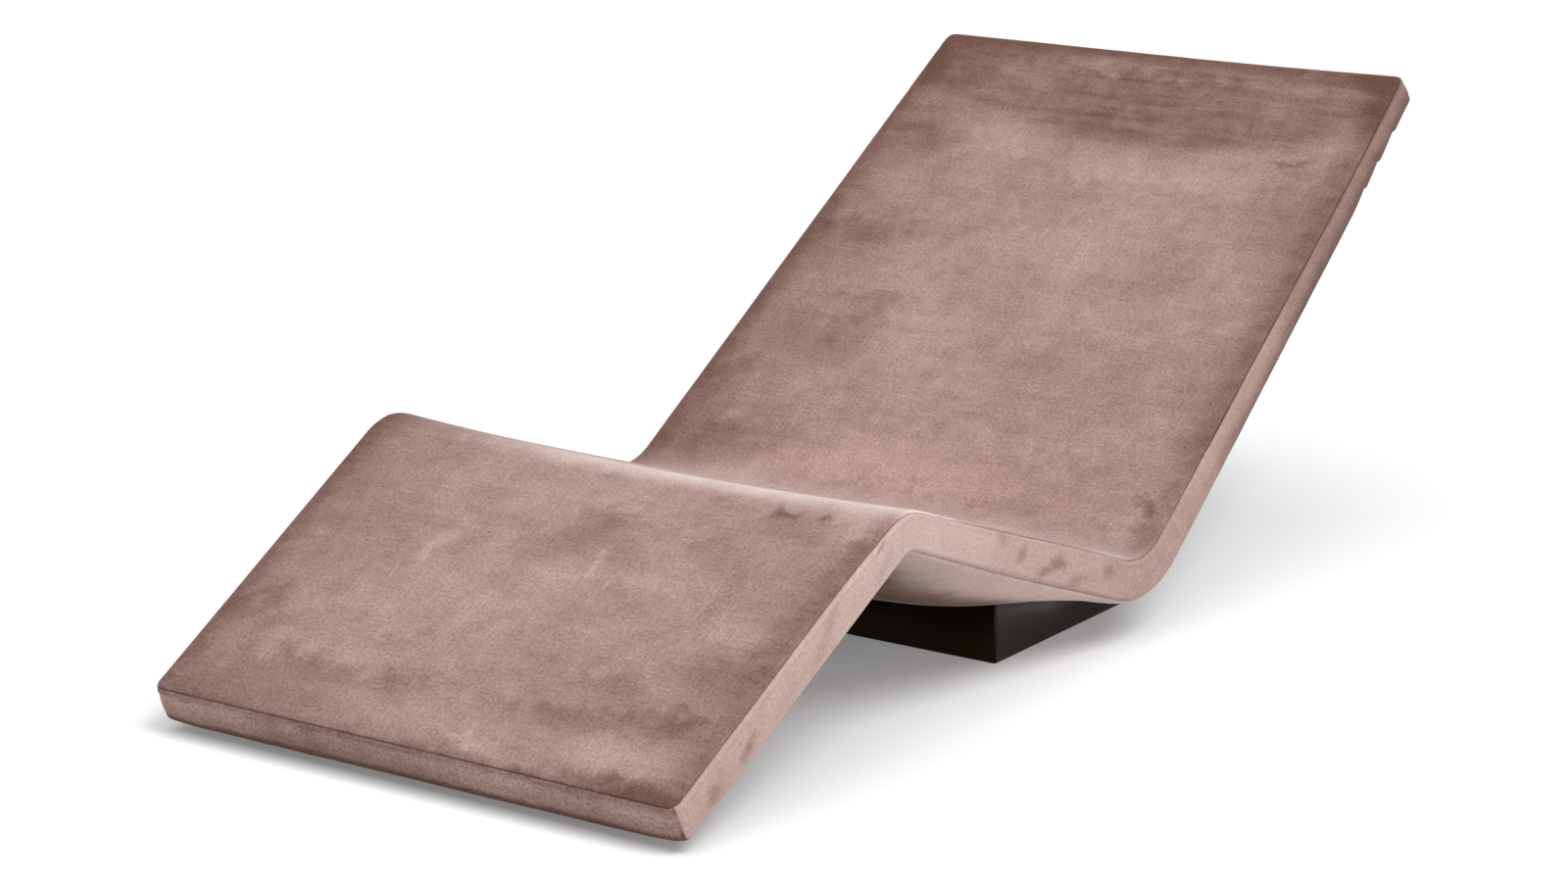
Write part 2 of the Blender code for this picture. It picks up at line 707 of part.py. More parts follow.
def make_glides():
    inner_x = PLINTH_HALF - PLINTH_WALL - GAP
    inner_y = {
        "front": PLINTH_FRONT + PLINTH_WALL + GAP,
        "rear": PLINTH_REAR - PLINTH_WALL - GAP,
    }
    shelf = GLIDE_LIFT + GLIDE_FOOT_HEIGHT + GAP
    stem_top = GLIDE_FOOT_HEIGHT + GLIDE_STEM_HEIGHT
    eye_radius = GLIDE_STEM_RADIUS + GLIDE_HOLE_CLEARANCE
    clipped = [(BRACKET_SIZE, BRACKET_CLIP), (BRACKET_CLIP, BRACKET_SIZE)]
    corner = [(0, 0), (BRACKET_SIZE, 0)] + clipped + [(0, BRACKET_SIZE)]
    for end, inward in (("front", 1), ("rear", -1)):
        for side, hand in ((1, "left"), (-1, "right")):
            corner_point = Vector((side * inner_x, inner_y[end], 0))
            outline = [(corner_point.x - side * u, corner_point.y + inward * v) for u, v in corner]
            axis = corner_point + Vector((-side * BRACKET_EYE, inward * BRACKET_EYE, 0))
            name = f"corner_bracket_{end}_{hand}"
            bracket = add_part(name, plate(
                name, outline, BRACKET_THICKNESS, floor_plane(shelf + BRACKET_THICKNESS / 2)), "frame_steel")
            eye = add_cutter(
                name + "_eye", rod(name + "_eye", eye_radius, 0, stem_top), Matrix.Translation(axis))
            cut(bracket, eye)
            glide = f"glide_{end}_{hand}"
            add_part(glide, turned(glide, [
                (0, stem_top),
                (GLIDE_STEM_RADIUS, stem_top),
                (GLIDE_STEM_RADIUS, GLIDE_FOOT_HEIGHT),
                (GLIDE_SHOULDER_RADIUS, GLIDE_FOOT_HEIGHT),
                (GLIDE_FOOT_RADIUS, GLIDE_RIM_TOP),
                (GLIDE_FOOT_RADIUS, GLIDE_RIM_BOTTOM),
                (GLIDE_SOLE_RADIUS, 0),
                (0, 0),
            ]), "glide_nylon", Matrix.Translation(axis + Vector((0, 0, GLIDE_LIFT))))


def make_lounger():
    seat_cover, back_cover = make_cover()
    seat_pad, back_pad = make_padding()
    make_rails()
    make_cross_tubes()
    make_suspension()
    saddle = make_plinth()
    through_cover = plinth_cutter("plinth_through_cover", COVER_CUT_REACH)
    into_padding = plinth_cutter("plinth_into_padding", GAP)
    cut(seat_cover, through_cover)
    cut(back_cover, through_cover)
    cut(seat_pad, into_padding)
    make_bearers(saddle, seat_pad, back_pad)
    make_glides()


make_lounger()
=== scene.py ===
# %% [markdown]
# # A velvet lounger, dressed over its frame
#
# The object is a thin upholstered board, bent upwards at the knee and back again under the hips, on a
# small dark plinth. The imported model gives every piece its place. This lesson sews the cover, lacquers
# the plinth and gives each hidden piece its finish. All lengths are metres, +Z is up, and the foot end
# points to -Y.

# %% The frame
import json
import math
from functools import partialmethod

import bmesh
import bpy
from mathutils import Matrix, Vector, kdtree, noise


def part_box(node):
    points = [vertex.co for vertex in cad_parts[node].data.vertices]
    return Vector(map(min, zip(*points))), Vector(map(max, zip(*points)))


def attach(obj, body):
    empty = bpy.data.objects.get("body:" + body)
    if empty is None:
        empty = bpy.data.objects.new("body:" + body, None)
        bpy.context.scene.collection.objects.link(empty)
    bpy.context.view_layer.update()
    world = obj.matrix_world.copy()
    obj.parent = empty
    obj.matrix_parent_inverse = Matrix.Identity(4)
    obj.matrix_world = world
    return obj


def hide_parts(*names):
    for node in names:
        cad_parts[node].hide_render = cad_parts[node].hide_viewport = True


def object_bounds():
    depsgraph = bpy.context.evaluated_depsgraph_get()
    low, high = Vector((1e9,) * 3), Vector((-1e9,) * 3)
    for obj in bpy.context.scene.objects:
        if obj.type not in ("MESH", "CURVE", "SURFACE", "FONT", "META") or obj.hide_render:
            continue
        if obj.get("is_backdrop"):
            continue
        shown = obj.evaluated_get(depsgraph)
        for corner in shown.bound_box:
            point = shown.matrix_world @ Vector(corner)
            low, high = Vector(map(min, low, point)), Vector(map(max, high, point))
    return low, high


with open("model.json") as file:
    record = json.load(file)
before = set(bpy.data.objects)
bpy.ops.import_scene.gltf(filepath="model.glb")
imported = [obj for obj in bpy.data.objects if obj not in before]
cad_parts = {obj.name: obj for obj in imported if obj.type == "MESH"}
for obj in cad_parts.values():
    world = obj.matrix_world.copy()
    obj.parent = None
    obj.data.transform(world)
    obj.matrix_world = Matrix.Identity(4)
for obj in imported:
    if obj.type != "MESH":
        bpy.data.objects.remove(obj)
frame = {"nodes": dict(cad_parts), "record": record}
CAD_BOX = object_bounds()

NODES = frame["nodes"]
BODY = "lounger"

# %% [markdown]
# ## The camera
#
# The photograph was taken with a long lens from the foot end, a little above the object. Straight edges
# of the object gave the lens and the place, so the camera needs no shift.

# %% The camera
CAMERA_PLACE = (2.7453, -4.1253, 1.5094)
CAMERA_TURN = math.radians(34.40)
CAMERA_DROP = math.radians(14.60)
CAMERA_LENS = 93.72
SENSOR_WIDTH = 36.0

lens = bpy.data.cameras.new("photo_view")
lens.lens = CAMERA_LENS
lens.sensor_width = SENSOR_WIDTH
camera = bpy.data.objects.new("photo_view", lens)
camera.location = CAMERA_PLACE
camera.rotation_euler = (math.pi / 2 - CAMERA_DROP, 0, CAMERA_TURN)
bpy.context.scene.collection.objects.link(camera)
bpy.context.scene.camera = camera
bpy.context.scene.view_settings.view_transform = "Standard"
print("camera:", CAMERA_LENS, "mm at", CAMERA_PLACE)

# %% [markdown]
# ## Shader sums
#
# A finish is a sum of noises and masks. Written as nodes one by one it is long and hard to read, so a
# small class wraps a socket: Python's own operators then add the Math nodes, and one method adds every
# other node.


# %% Shader sums
class Wire:
    """A socket of a finish that takes part in Python sums."""

    def __init__(self, tree, socket=None):
        self.tree = tree
        self.socket = socket

    def node(self, kind, settings=None, values=None, out=0):
        """Adds a node, sets it up, fills its sockets with numbers or wires, and returns an output."""
        made = self.tree.nodes.new("ShaderNode" + kind)
        for name, value in (settings or {}).items():
            setattr(made, name, value)
        for name, value in (values or {}).items():
            if isinstance(value, Wire):
                self.tree.links.new(value.socket, made.inputs[name])
            else:
                made.inputs[name].default_value = value
        return Wire(self.tree, made.outputs[out])

    def maths(self, operation, other=0.0):
        return self.node("Math", {"operation": operation}, {0: self, 1: other})

    def __rsub__(self, other):
        return self.node("Math", {"operation": "SUBTRACT"}, {0: other, 1: self})

    __add__ = __radd__ = partialmethod(maths, "ADD")
    __mul__ = __rmul__ = partialmethod(maths, "MULTIPLY")
    __sub__ = partialmethod(maths, "SUBTRACT")
    __pow__ = partialmethod(maths, "POWER")

    def clipped(self):
        return self.node("Clamp", None, {"Value": self})

    def step(self, low, high):
        """A smooth climb from 0 at low to 1 at high."""
        settings = {"interpolation_type": "SMOOTHSTEP"}
        return self.node("MapRange", settings, {"Value": self, "From Min": low, "From Max": high})

    def between(self, rise, fall):
        """A smooth hill: up over the two values of rise, and down again over those of fall."""
        return self.step(*rise) * (1 - self.step(*fall))

    def colours(self, dark, light):
        """Blends two colours by this value. The sockets go by number, because their names repeat."""
        values = {0: self, 6: dark, 7: light}
        return self.node("Mix", {"data_type": "RGBA"}, values, out=2)


def rgb(red, green, blue):
    return (red, green, blue, 1.0)


def new_finish(name, **constants):
    """A material with its plain socket values set, and a wire to build on."""
    finish = bpy.data.materials.new(name)
    finish.use_nodes = True
    shader = finish.node_tree.nodes["Principled BSDF"]
    for socket, value in constants.items():
        shader.inputs[socket.replace("_", " ")].default_value = value
    return finish, Wire(finish.node_tree)


def feed(finish, **wires):
    """Links wires to the shader's sockets."""
    shader = finish.node_tree.nodes["Principled BSDF"]
    for socket, wire in wires.items():
        finish.node_tree.links.new(wire.socket, shader.inputs[socket.replace("_", " ")])


def bumped(height, strength, distance):
    values = {"Height": height, "Strength": strength, "Distance": distance}
    return height.node("Bump", None, values)


def grain(place, scale, detail=2.0, distortion=0.0):
    """Noise from 0 to 1 at a number of waves to the metre."""
    values = {"Vector": place, "Scale": scale, "Detail": detail, "Distortion": distortion}
    return place.node("TexNoise", None, values)


def stretched(place, across, along):
    """The place on a flat cloth with each direction drawn out or squeezed."""
    return place.node("Mapping", None, {"Vector": place, "Scale": (across, along, 1)})


def solid_finish(name, **constants):
    """A finish with its plain values set, and the place on the object that its grain follows."""
    finish, wire = new_finish(name, **constants)
    return finish, wire.node("TexCoord", out="Object")


def coat(finish, tone, colours, gloss, roughness, relief=None, bump=None):
    """Colours a finish by its tone, dulls it by its gloss and bumps it by its relief."""
    least, gain = roughness
    feed(finish, Base_Color=tone.colours(*colours), Roughness=least + gain * gloss)
    if relief:
        feed(finish, Normal=bumped(relief, *bump))
    return finish


def plain_coat(name, tone, relief, colours, roughness, bump, **constants):
    """A coat whose colour and gloss follow one grain, and its bumps another."""
    finish, spot = solid_finish(name, **constants)
    cloud = grain(spot, *tone)
    return coat(finish, cloud, colours, cloud, roughness, grain(spot, relief), bump)


# %% [markdown]
# ## Studio
#
# The picture has a white ground with a soft grey shadow. Suns light floor and object alike at any
# distance, and a wide one is as soft as a studio box: a key from high on the near side, a broad one
# overhead, and a low one that makes the near edge the palest. The floor adds a little light of its own
# that reaches the camera and the gloss but not the cloth, so that it ends in white and still keeps the
# shadow.

# %% Studio
FLOOR_SIZE = 60.0
FLOOR_DROP = 0.0004
FLOOR_COLOUR = rgb(0.851, 0.872, 0.877)
FLOOR_LIFT = 0.18
AMBIENT = 0.22
SUNS = (
    # name, strength, spread, tilt from the zenith and compass turn, in degrees
    ("key", 1.55, 30, 36, 80),
    ("overhead", 1.40, 70, 16, 5),
    ("side", 0.60, 50, 80, 80),
)


def add_sun(name, strength, spread, tilt, turn):
    """A sun that leans from the zenith by tilt towards the compass direction turn."""
    sun = bpy.data.lights.new(name, "SUN")
    sun.energy = strength
    sun.angle = math.radians(spread)
    lamp = bpy.data.objects.new(name, sun)
    lamp.rotation_euler = (math.radians(tilt), 0, math.radians(turn))
    bpy.context.scene.collection.objects.link(lamp)


def white_rays(wire):
    """1 for the rays that find a white studio: the camera's own, and those in gloss."""
    rays = wire.node("LightPath").socket.node.outputs
    seen, glossy = (Wire(wire.tree, rays[name]) for name in ("Is Camera Ray", "Is Glossy Ray"))
    return (seen + glossy).clipped()


for sun_values in SUNS:
    add_sun(*sun_values)

world = bpy.data.worlds.new("studio")
world.use_nodes = True
bpy.context.scene.world = world
sky = AMBIENT + white_rays(Wire(world.node_tree)) * (1 - AMBIENT)
background = world.node_tree.nodes["Background"]
world.node_tree.links.new(sky.socket, background.inputs["Strength"])
background.inputs["Color"].default_value = rgb(1, 1, 1)

floor_finish, floor_wire = new_finish(
    "floor_paper", Base_Color=FLOOR_COLOUR, Roughness=0.9, Emission_Strength=1.0, Specular_IOR_Level=0.0)
floor_glow = white_rays(floor_wire).colours(rgb(0, 0, 0), rgb(FLOOR_LIFT, FLOOR_LIFT, FLOOR_LIFT))
feed(floor_finish, Emission_Color=floor_glow)


def new_piece(name, shape, finish):
    """Turns a bmesh into an object of the scene."""
    mesh = bpy.data.meshes.new(name)
    shape.to_mesh(mesh)
    shape.free()
    mesh.shade_smooth()
    mesh.materials.append(finish)
    piece = bpy.data.objects.new(name, mesh)
    bpy.context.scene.collection.objects.link(piece)
    return piece


ground = bmesh.new()
bmesh.ops.create_grid(ground, x_segments=1, y_segments=1, size=FLOOR_SIZE / 2)
bmesh.ops.translate(ground, verts=ground.verts[:], vec=(0, 0, -FLOOR_DROP))
floor = new_piece("floor", ground, floor_finish)
floor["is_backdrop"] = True
print("studio:", len(SUNS), "suns, floor", FLOOR_SIZE, "m")

# %% [markdown]
# ## The bent line of the body
#
# Everything soft follows one line: up the leg, over the knee, down the seat, round the fold and up the
# back. A point of the body is given by its station along that line, its place across and its depth
# below the surface. The sizes are the frame's own, and two of its boxes set where the line lies.

# %% The bent line of the body
LEG_LENGTH = 0.493
SEAT_LENGTH = 0.554
BACK_LENGTH = 0.892
LEG_SLOPE = math.radians(28.8)
SEAT_SLOPE = math.radians(20.6)
BACK_SLOPE = math.radians(33.7)
THICKNESS = 0.0535
HEAD_THINNING = 0.013
KNEE_RADIUS = 0.0805
FOLD_RADIUS = 0.095
FOOT_WIDTH = 0.735
KNEE_WIDTH = 0.752
FOLD_WIDTH = 0.789
HEAD_WIDTH = 0.724

KNEE_TURN = LEG_SLOPE + SEAT_SLOPE
FOLD_TURN = SEAT_SLOPE + BACK_SLOPE
KNEE_TANGENT = KNEE_RADIUS * math.tan(KNEE_TURN / 2)
FOLD_TANGENT = FOLD_RADIUS * math.tan(FOLD_TURN / 2)
LEG_END = LEG_LENGTH - KNEE_TANGENT
SEAT_START = LEG_END + KNEE_RADIUS * KNEE_TURN
SEAT_END = SEAT_START + SEAT_LENGTH - KNEE_TANGENT - FOLD_TANGENT
BACK_START = SEAT_END + FOLD_RADIUS * FOLD_TURN
BODY_END = BACK_START + BACK_LENGTH - FOLD_TANGENT
KNEE = (LEG_END + SEAT_START) / 2
FOLD = (SEAT_END + BACK_START) / 2


def along(direction, distance):
    return Vector((math.cos(direction), math.sin(direction))) * distance


def bend(start, slope, radius, turn):
    side = math.copysign(1, turn)
    centre = start + along(slope + side * math.pi / 2, radius)
    return centre + along(slope + turn - side * math.pi / 2, radius)


KNEE_POINT = along(LEG_SLOPE, LEG_END)
SEAT_POINT = bend(KNEE_POINT, LEG_SLOPE, KNEE_RADIUS, -KNEE_TURN)
FOLD_POINT = SEAT_POINT + along(-SEAT_SLOPE, SEAT_END - SEAT_START)
BACK_POINT = bend(FOLD_POINT, -SEAT_SLOPE, FOLD_RADIUS, FOLD_TURN)


def upper_line(station):
    """Place (y, z) and slope of the upper line, with the foot edge at (0, 0)."""
    if station <= LEG_END:
        return along(LEG_SLOPE, station), LEG_SLOPE
    if station <= SEAT_START:
        turn = (station - LEG_END) / KNEE_RADIUS
        return bend(KNEE_POINT, LEG_SLOPE, KNEE_RADIUS, -turn), LEG_SLOPE - turn
    if station <= SEAT_END:
        return SEAT_POINT + along(-SEAT_SLOPE, station - SEAT_START), -SEAT_SLOPE
    if station <= BACK_START:
        turn = (station - SEAT_END) / FOLD_RADIUS
        return bend(FOLD_POINT, -SEAT_SLOPE, FOLD_RADIUS, turn), turn - SEAT_SLOPE
    return BACK_POINT + along(BACK_SLOPE, station - BACK_START), BACK_SLOPE


def below_line(station, depth):
    point, slope = upper_line(station)
    return point + along(slope - math.pi / 2, depth)


SHIFT_Y = CAD_BOX[0].y
SHIFT_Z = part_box("cover_leg_under")[0].z - below_line(0, THICKNESS).y


def place(station, across, depth):
    point = below_line(station, depth)
    return Vector((across, point.x + SHIFT_Y, point.y + SHIFT_Z))


def thickness(station):
    return THICKNESS - HEAD_THINNING * max(0.0, (station - BACK_START) / (BODY_END - BACK_START))


def half_width(station):
    stops = [(0, FOOT_WIDTH), (KNEE, KNEE_WIDTH), (FOLD, FOLD_WIDTH), (BODY_END, HEAD_WIDTH)]
    for (start, wide), (end, next_wide) in zip(stops, stops[1:]):
        if station <= end:
            break
    return (wide + (next_wide - wide) * (station - start) / (end - start)) / 2


head_miss = place(BODY_END, 0, 0).z - CAD_BOX[1].z
print("line:", round(BODY_END, 4), "m; head edge off by", round(1000 * head_miss, 2), "mm")

# %% [markdown]
# ## The cover, cut as one bag
#
# The cover is a boxed cushion: a top panel, a band round the edge and panels underneath. It starts as
# one flat grid, extruded to a thin board whose walls are cut into levels. Each point keeps its row, its
# column and its level, and these give its station, its distance from the edges and its depth. Rows and
# columns crowd together at the edges, where the seams and the rolls are.

# %% The cover, cut as one bag
EDGE_STEPS = (0.0, 0.0018, 0.0045, 0.009, 0.016, 0.026, 0.040)
BAND_STEPS = (0.0, 0.0020, 0.0050, 0.0080, 0.0100, 0.0150, 0.0210)
CELL = 0.0135
PUCKERS = (1.748, 1.797, 1.8545)
PUCKER_STEP = 0.004
GRID_LAYERS = ("row", "column", "level")


def spread(length, fixed):
    """Distances from 0 to length: crowded at both ends, even between, with some values kept exact."""
    inner_start, inner_end = EDGE_STEPS[-1], length - EDGE_STEPS[-1]
    count = round((inner_end - inner_start) / CELL)
    inner = [inner_start + (inner_end - inner_start) * n / count for n in range(1, count)]
    for value in fixed:
        nearest = min(range(len(inner)), key=lambda n: abs(inner[n] - value))
        inner[nearest] = value
    return list(EDGE_STEPS) + inner + [length - step for step in reversed(EDGE_STEPS)]


PUCKER_ROWS = [p + shift for p in PUCKERS for shift in (-PUCKER_STEP / 2, PUCKER_STEP / 2)]
ROWS = sorted(spread(BODY_END, (KNEE, FOLD)) + PUCKER_ROWS)
COLUMNS = [distance / FOLD_WIDTH for distance in spread(FOLD_WIDTH, ())]
LEVELS = list(BAND_STEPS) + [THICKNESS - step for step in reversed(BAND_STEPS)]
LAST_ROW = len(ROWS) - 1
LAST_COLUMN = len(COLUMNS) - 1
LAST_LEVEL = len(LEVELS) - 1


def new_board():
    """A grid extruded to a board, with the layers that hold each point's row, column and level."""
    shape = bmesh.new()
    row, column, level = (shape.verts.layers.float.new(name) for name in GRID_LAYERS)
    grid = bmesh.ops.create_grid(shape, x_segments=LAST_COLUMN, y_segments=LAST_ROW, size=1)
    for vert in grid["verts"]:
        vert[column] = round((vert.co.x + 1) / 2 * LAST_COLUMN)
        vert[row] = round((vert.co.y + 1) / 2 * LAST_ROW)
    far = bmesh.ops.extrude_face_region(shape, geom=shape.faces[:])
    for item in far["geom"]:
        if isinstance(item, bmesh.types.BMVert):
            item[level] = LAST_LEVEL
    walls = [e for e in shape.edges if e.verts[0][level] != e.verts[1][level]]
    bmesh.ops.subdivide_edges(shape, edges=walls, cuts=LAST_LEVEL - 1, use_grid_fill=True)
    return shape


def grid_layers(shape):
    return [shape.verts.layers.float[name] for name in GRID_LAYERS]


def put_in_order(shape):
    """Sorts a board by its grid, so that a simulation adds up its forces alike in every run."""
    row, column, level = grid_layers(shape)

    def grid_number(vert):
        return (round(vert[level]) * len(ROWS) + round(vert[row])) * len(COLUMNS) + round(vert[column])

    def span(part):
        numbers = [vert.index for vert in part.verts]
        return min(numbers) * len(shape.verts) + max(numbers)

    shape.verts.sort(key=grid_number)
    shape.verts.index_update()
    shape.edges.sort(key=span)
    shape.faces.sort(key=span)


board = new_board()
put_in_order(board)
print("board:", len(board.verts), "points,", len(board.faces), "faces")

# %% [markdown]
# ## Rolled edges, crown, dish and belly
#
# The board is bent by one rule for each point. A square edge becomes a roll: a point near it slides to
# a quarter circle, with the seam half way round. The same rule rounds the corners seen from above. On
# top of that come the crown of the foam, the dish that knees press into the crest, and the belly that
# swells under the seat and folds round the plinth.

# %% Rolled edges, crown, dish and belly
TOP_ROLL = 0.0065
BOTTOM_ROLL = 0.0125
CORNER_ROLL = 0.016
RIM = 1 - math.sqrt(0.5)
CROWN = 0.0026
CROWN_FULLNESS = 6
CROWN_RUN = 0.040
KNEE_DISH = 0.010
KNEE_NEAR_DISH = 0.006
LEG_DISH_REACH = 0.16
SEAT_DISH_REACH = 0.50
HEAD_LIFT = 0.0062
HEAD_LIFT_REACH = 0.30
SIDE_PROUD = 0.0006
LEG_PROUD = 0.0018
FOOT_SAG = 0.0015
FOOT_SAG_FULLNESS = 4
FOOT_TUCK = 0.0050
FOOT_BOW_REACH = 0.18
BAND_PROUD = 0.0030
BULGE_RISE = 1.6
BASE_PROUD = 0.0030
BELLY_DEPTH = 0.054
BELLY_FULLNESS = 5
PUCKER_DEPTH = 0.0080
PUCKER_REACH = 0.050
PUCKER_SHARPNESS = 1.5


def unit(value):
    """The value, held between 0 and 1."""
    return min(1.0, max(0.0, value))


def near(distance, reach):
    """1 at no distance, falling evenly to 0 at the reach and beyond."""
    return max(0.0, 1 - distance / reach)


def rolled(offset, radius):
    """New offset and drop of a point this far from a square edge, once the edge is rolled."""
    share = near(offset, radius)
    if share == 0:
        return offset, 0.0
    return radius * (1 - share * math.sqrt(0.5)), radius * (1 - math.sqrt(1 - share * share / 2))


def rounded_corner(side_offset, end_offset, inset):
    """Offsets from a side and an end edge, slid so that the outline at this inset has a round corner."""
    radius = CORNER_ROLL - inset
    side_share = near(side_offset - inset, radius)
    end_share = near(end_offset - inset, radius)
    if side_share == 0 or end_share == 0:
        return side_offset, end_offset
    side = radius * (1 - side_share * math.sqrt(1 - end_share * end_share / 2))
    end = radius * (1 - end_share * math.sqrt(1 - side_share * side_share / 2))
    return side + inset, end + inset


def knee_press(station):
    """1 on the crest under the knees, falling to 0 soon on the leg and slowly along the seat."""
    reach = LEG_DISH_REACH if station < KNEE else SEAT_DISH_REACH
    return math.cos(math.pi / 2 * unit(abs(station - KNEE) / reach)) ** 2


def crown(station, share):
    run = unit(min(station, BODY_END - station) / CROWN_RUN)
    full = CROWN * (1 - abs(share) ** CROWN_FULLNESS) * math.sin(math.pi / 2 * run)
    return full * (1 - knee_press(station))


def dish(station, share):
    """The crest is pressed down in the middle, and a little at its near edge."""
    return knee_press(station) * (KNEE_DISH * (1 - share * share) + KNEE_NEAR_DISH * (1 + share) / 2)


def head_lift(station, share):
    """The near corner of the head edge stands up a little."""
    return HEAD_LIFT * max(0.0, share) ** 2 * near(BODY_END - station, HEAD_LIFT_REACH) ** 2


def leg_share(station):
    """1 on the leg, falling along the seat to 0 at its end."""
    return unit((SEAT_END - station) / (SEAT_END - KNEE))


def foot_bow(station, share):
    """The foot's lower edge sags a little in the middle, and its corners are pulled up."""
    fade = near(station, FOOT_BOW_REACH) ** 2
    corner = near(1 - abs(share), FOOT_BOW_REACH) ** 2
    return fade * (FOOT_SAG * (1 - share ** FOOT_SAG_FULLNESS) - FOOT_TUCK * corner)


def belly(station, share):
    run = unit((station - KNEE) / (FOLD - KNEE))
    return BELLY_DEPTH * math.sin(math.pi * run) ** 2 * (1 - abs(share) ** BELLY_FULLNESS)


def pucker(station):
    """Small pulls of the rear edge: each is deepest at its tack and eases off towards the next one below."""
    for start, end in zip((2 * PUCKERS[0] - PUCKERS[1],) + PUCKERS, PUCKERS):
        if start < station <= end:
            return PUCKER_DEPTH * ((station - start) / (end - start)) ** PUCKER_SHARPNESS
    return 0.0


def from_side(column):
    """Distance of a column from the nearer side edge, on the widest row."""
    return min(COLUMNS[column], 1 - COLUMNS[column]) * FOLD_WIDTH


def cover_point(row, column, level):
    """Station, across and depth of a point of the cover, before the foam swells it."""
    station = ROWS[row]
    share = 2 * COLUMNS[column] - 1
    half = half_width(station)
    side_offset = from_side(column)
    end_offset = min(station, BODY_END - station)
    deep = thickness(station)
    depth = LEVELS[level] * deep / THICKNESS
    if level in (0, LAST_LEVEL):
        roll = TOP_ROLL if level == 0 else BOTTOM_ROLL
        inset = roll * RIM
        side_offset, side_drop = rolled(side_offset, roll)
        end_offset, end_drop = rolled(end_offset, roll)
        drop = max(side_drop, end_drop)
        depth = drop if level == 0 else deep - drop
    else:
        upper, upper_drop = rolled(depth, TOP_ROLL)
        lower, lower_drop = rolled(deep - depth, BOTTOM_ROLL)
        depth = upper if depth < TOP_ROLL else deep - lower
        inset = max(upper_drop, lower_drop)
        slid = max(near(LEVELS[level], TOP_ROLL), near(THICKNESS - LEVELS[level], BOTTOM_ROLL))
        on_side = column in (0, LAST_COLUMN)
        on_end = row in (0, LAST_ROW)
        side_slide = rolled(side_offset, TOP_ROLL)[0] - side_offset
        end_slide = rolled(end_offset, TOP_ROLL)[0] - end_offset
        side_offset = inset if on_side else side_offset + slid * side_slide
        end_offset = inset if on_end else end_offset + slid * end_slide
    side_offset, end_offset = rounded_corner(side_offset, end_offset, inset)
    station = end_offset if station < BODY_END / 2 else BODY_END - end_offset
    return station, across_at(share, side_offset, half), depth


def across_at(share, side_offset, half):
    """Place across for a distance from the side edge: true near it, stretched to the width farther in."""
    inner = max(0.0, side_offset - EDGE_STEPS[-1]) / (FOLD_WIDTH / 2 - EDGE_STEPS[-1])
    edge = min(side_offset, EDGE_STEPS[-1]) + inner * (half - EDGE_STEPS[-1])
    return math.copysign(half - edge, share)


def pattern_point(row, column, level):
    """Across, station and depth of a point on the flat cloth, with no roll and no round corner."""
    station = ROWS[row]
    across = across_at(2 * COLUMNS[column] - 1, from_side(column), half_width(station))
    return across, station, LEVELS[level] * thickness(station) / THICKNESS


def bulge(lower):
    """How far a band stands proud between its seams, as a share: nothing above, most in the lower half."""
    return math.sin(math.pi / 2 * min(1.0, BULGE_RISE * lower)) ** 2


def swell(station, across, depth):
    """Depth with crown, dish and lift on the top, and with belly, bow and puckers underneath."""
    share = across / half_width(station)
    deep = thickness(station)
    lower = depth / deep
    depth += (1 - lower) * (dish(station, share) - crown(station, share)) - head_lift(station, share)
    depth += lower * (belly(station, share) + foot_bow(station, share) + BASE_PROUD * lower)
    if across > 0:
        edge = near(half_width(station) - across, PUCKER_REACH)
        depth -= pucker(station) * lower ** 2 * edge
    return depth


def bend_board(shape):
    """Moves the flat board's points to the bent body, and keeps their flat places for the cloth's pattern."""
    layers = grid_layers(shape)
    flat = shape.verts.layers.float_vector.new("flat")
    for vert in shape.verts:
        steps = [round(vert[layer]) for layer in layers]
        station, across, depth = cover_point(*steps)
        vert[flat] = pattern_point(*steps)
        proud = SIDE_PROUD + LEG_PROUD * leg_share(station) + BAND_PROUD * bulge(depth / thickness(station))
        wide = across * (1 + proud / half_width(station))
        long = station + proud * (2 * station / BODY_END - 1)
        vert.co = place(long, wide, swell(station, across, depth))
    bmesh.ops.recalc_face_normals(shape, faces=shape.faces[:])


bend_board(board)
print("bent:", [round(max(v.co[axis] for v in board.verts), 4) for axis in range(3)])

# %% [markdown]
# ## The foam swells the cover
#
# Foam pushes a sewn cover outwards from inside, and the seams hold it back. A short cloth simulation
# with pressure does the same: the seams and the part over the plinth are pinned, and gravity is off.
# The foam is firm and thin, so a point may move outwards only a little, never inwards, and not at all
# on the crest, where the cloth is tight.

# %% The foam swells the cover
SWELL_FRAMES = 20
SWELL_CAP = 0.0022
CLOTH_QUALITY = 4
PRESSURE = 4.0
SLACK = -0.004
PLINTH_LOW = Vector((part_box("plinth_right")[0].x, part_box("plinth_front")[0].y, 0))
PLINTH_HIGH = Vector((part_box("plinth_left")[1].x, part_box("plinth_rear")[1].y, 0))


def is_rim(vert, layers):
    """True on the seams round the top panel and round the underside."""
    row, column, level = layers
    outer = round(vert[row]) in (0, LAST_ROW) or round(vert[column]) in (0, LAST_COLUMN)
    return outer and round(vert[level]) in (0, LAST_LEVEL)


def plinth_gap(spot):
    """Distance of a point from the plinth's walls, seen from above, and 0 within them."""
    beyond_x = max(PLINTH_LOW.x - spot.x, spot.x - PLINTH_HIGH.x)
    beyond_y = max(PLINTH_LOW.y - spot.y, spot.y - PLINTH_HIGH.y)
    return max(0.0, beyond_x, beyond_y)


def over_plinth(vert, layers):
    return round(vert[layers[2]]) == LAST_LEVEL and plinth_gap(vert.co) == 0


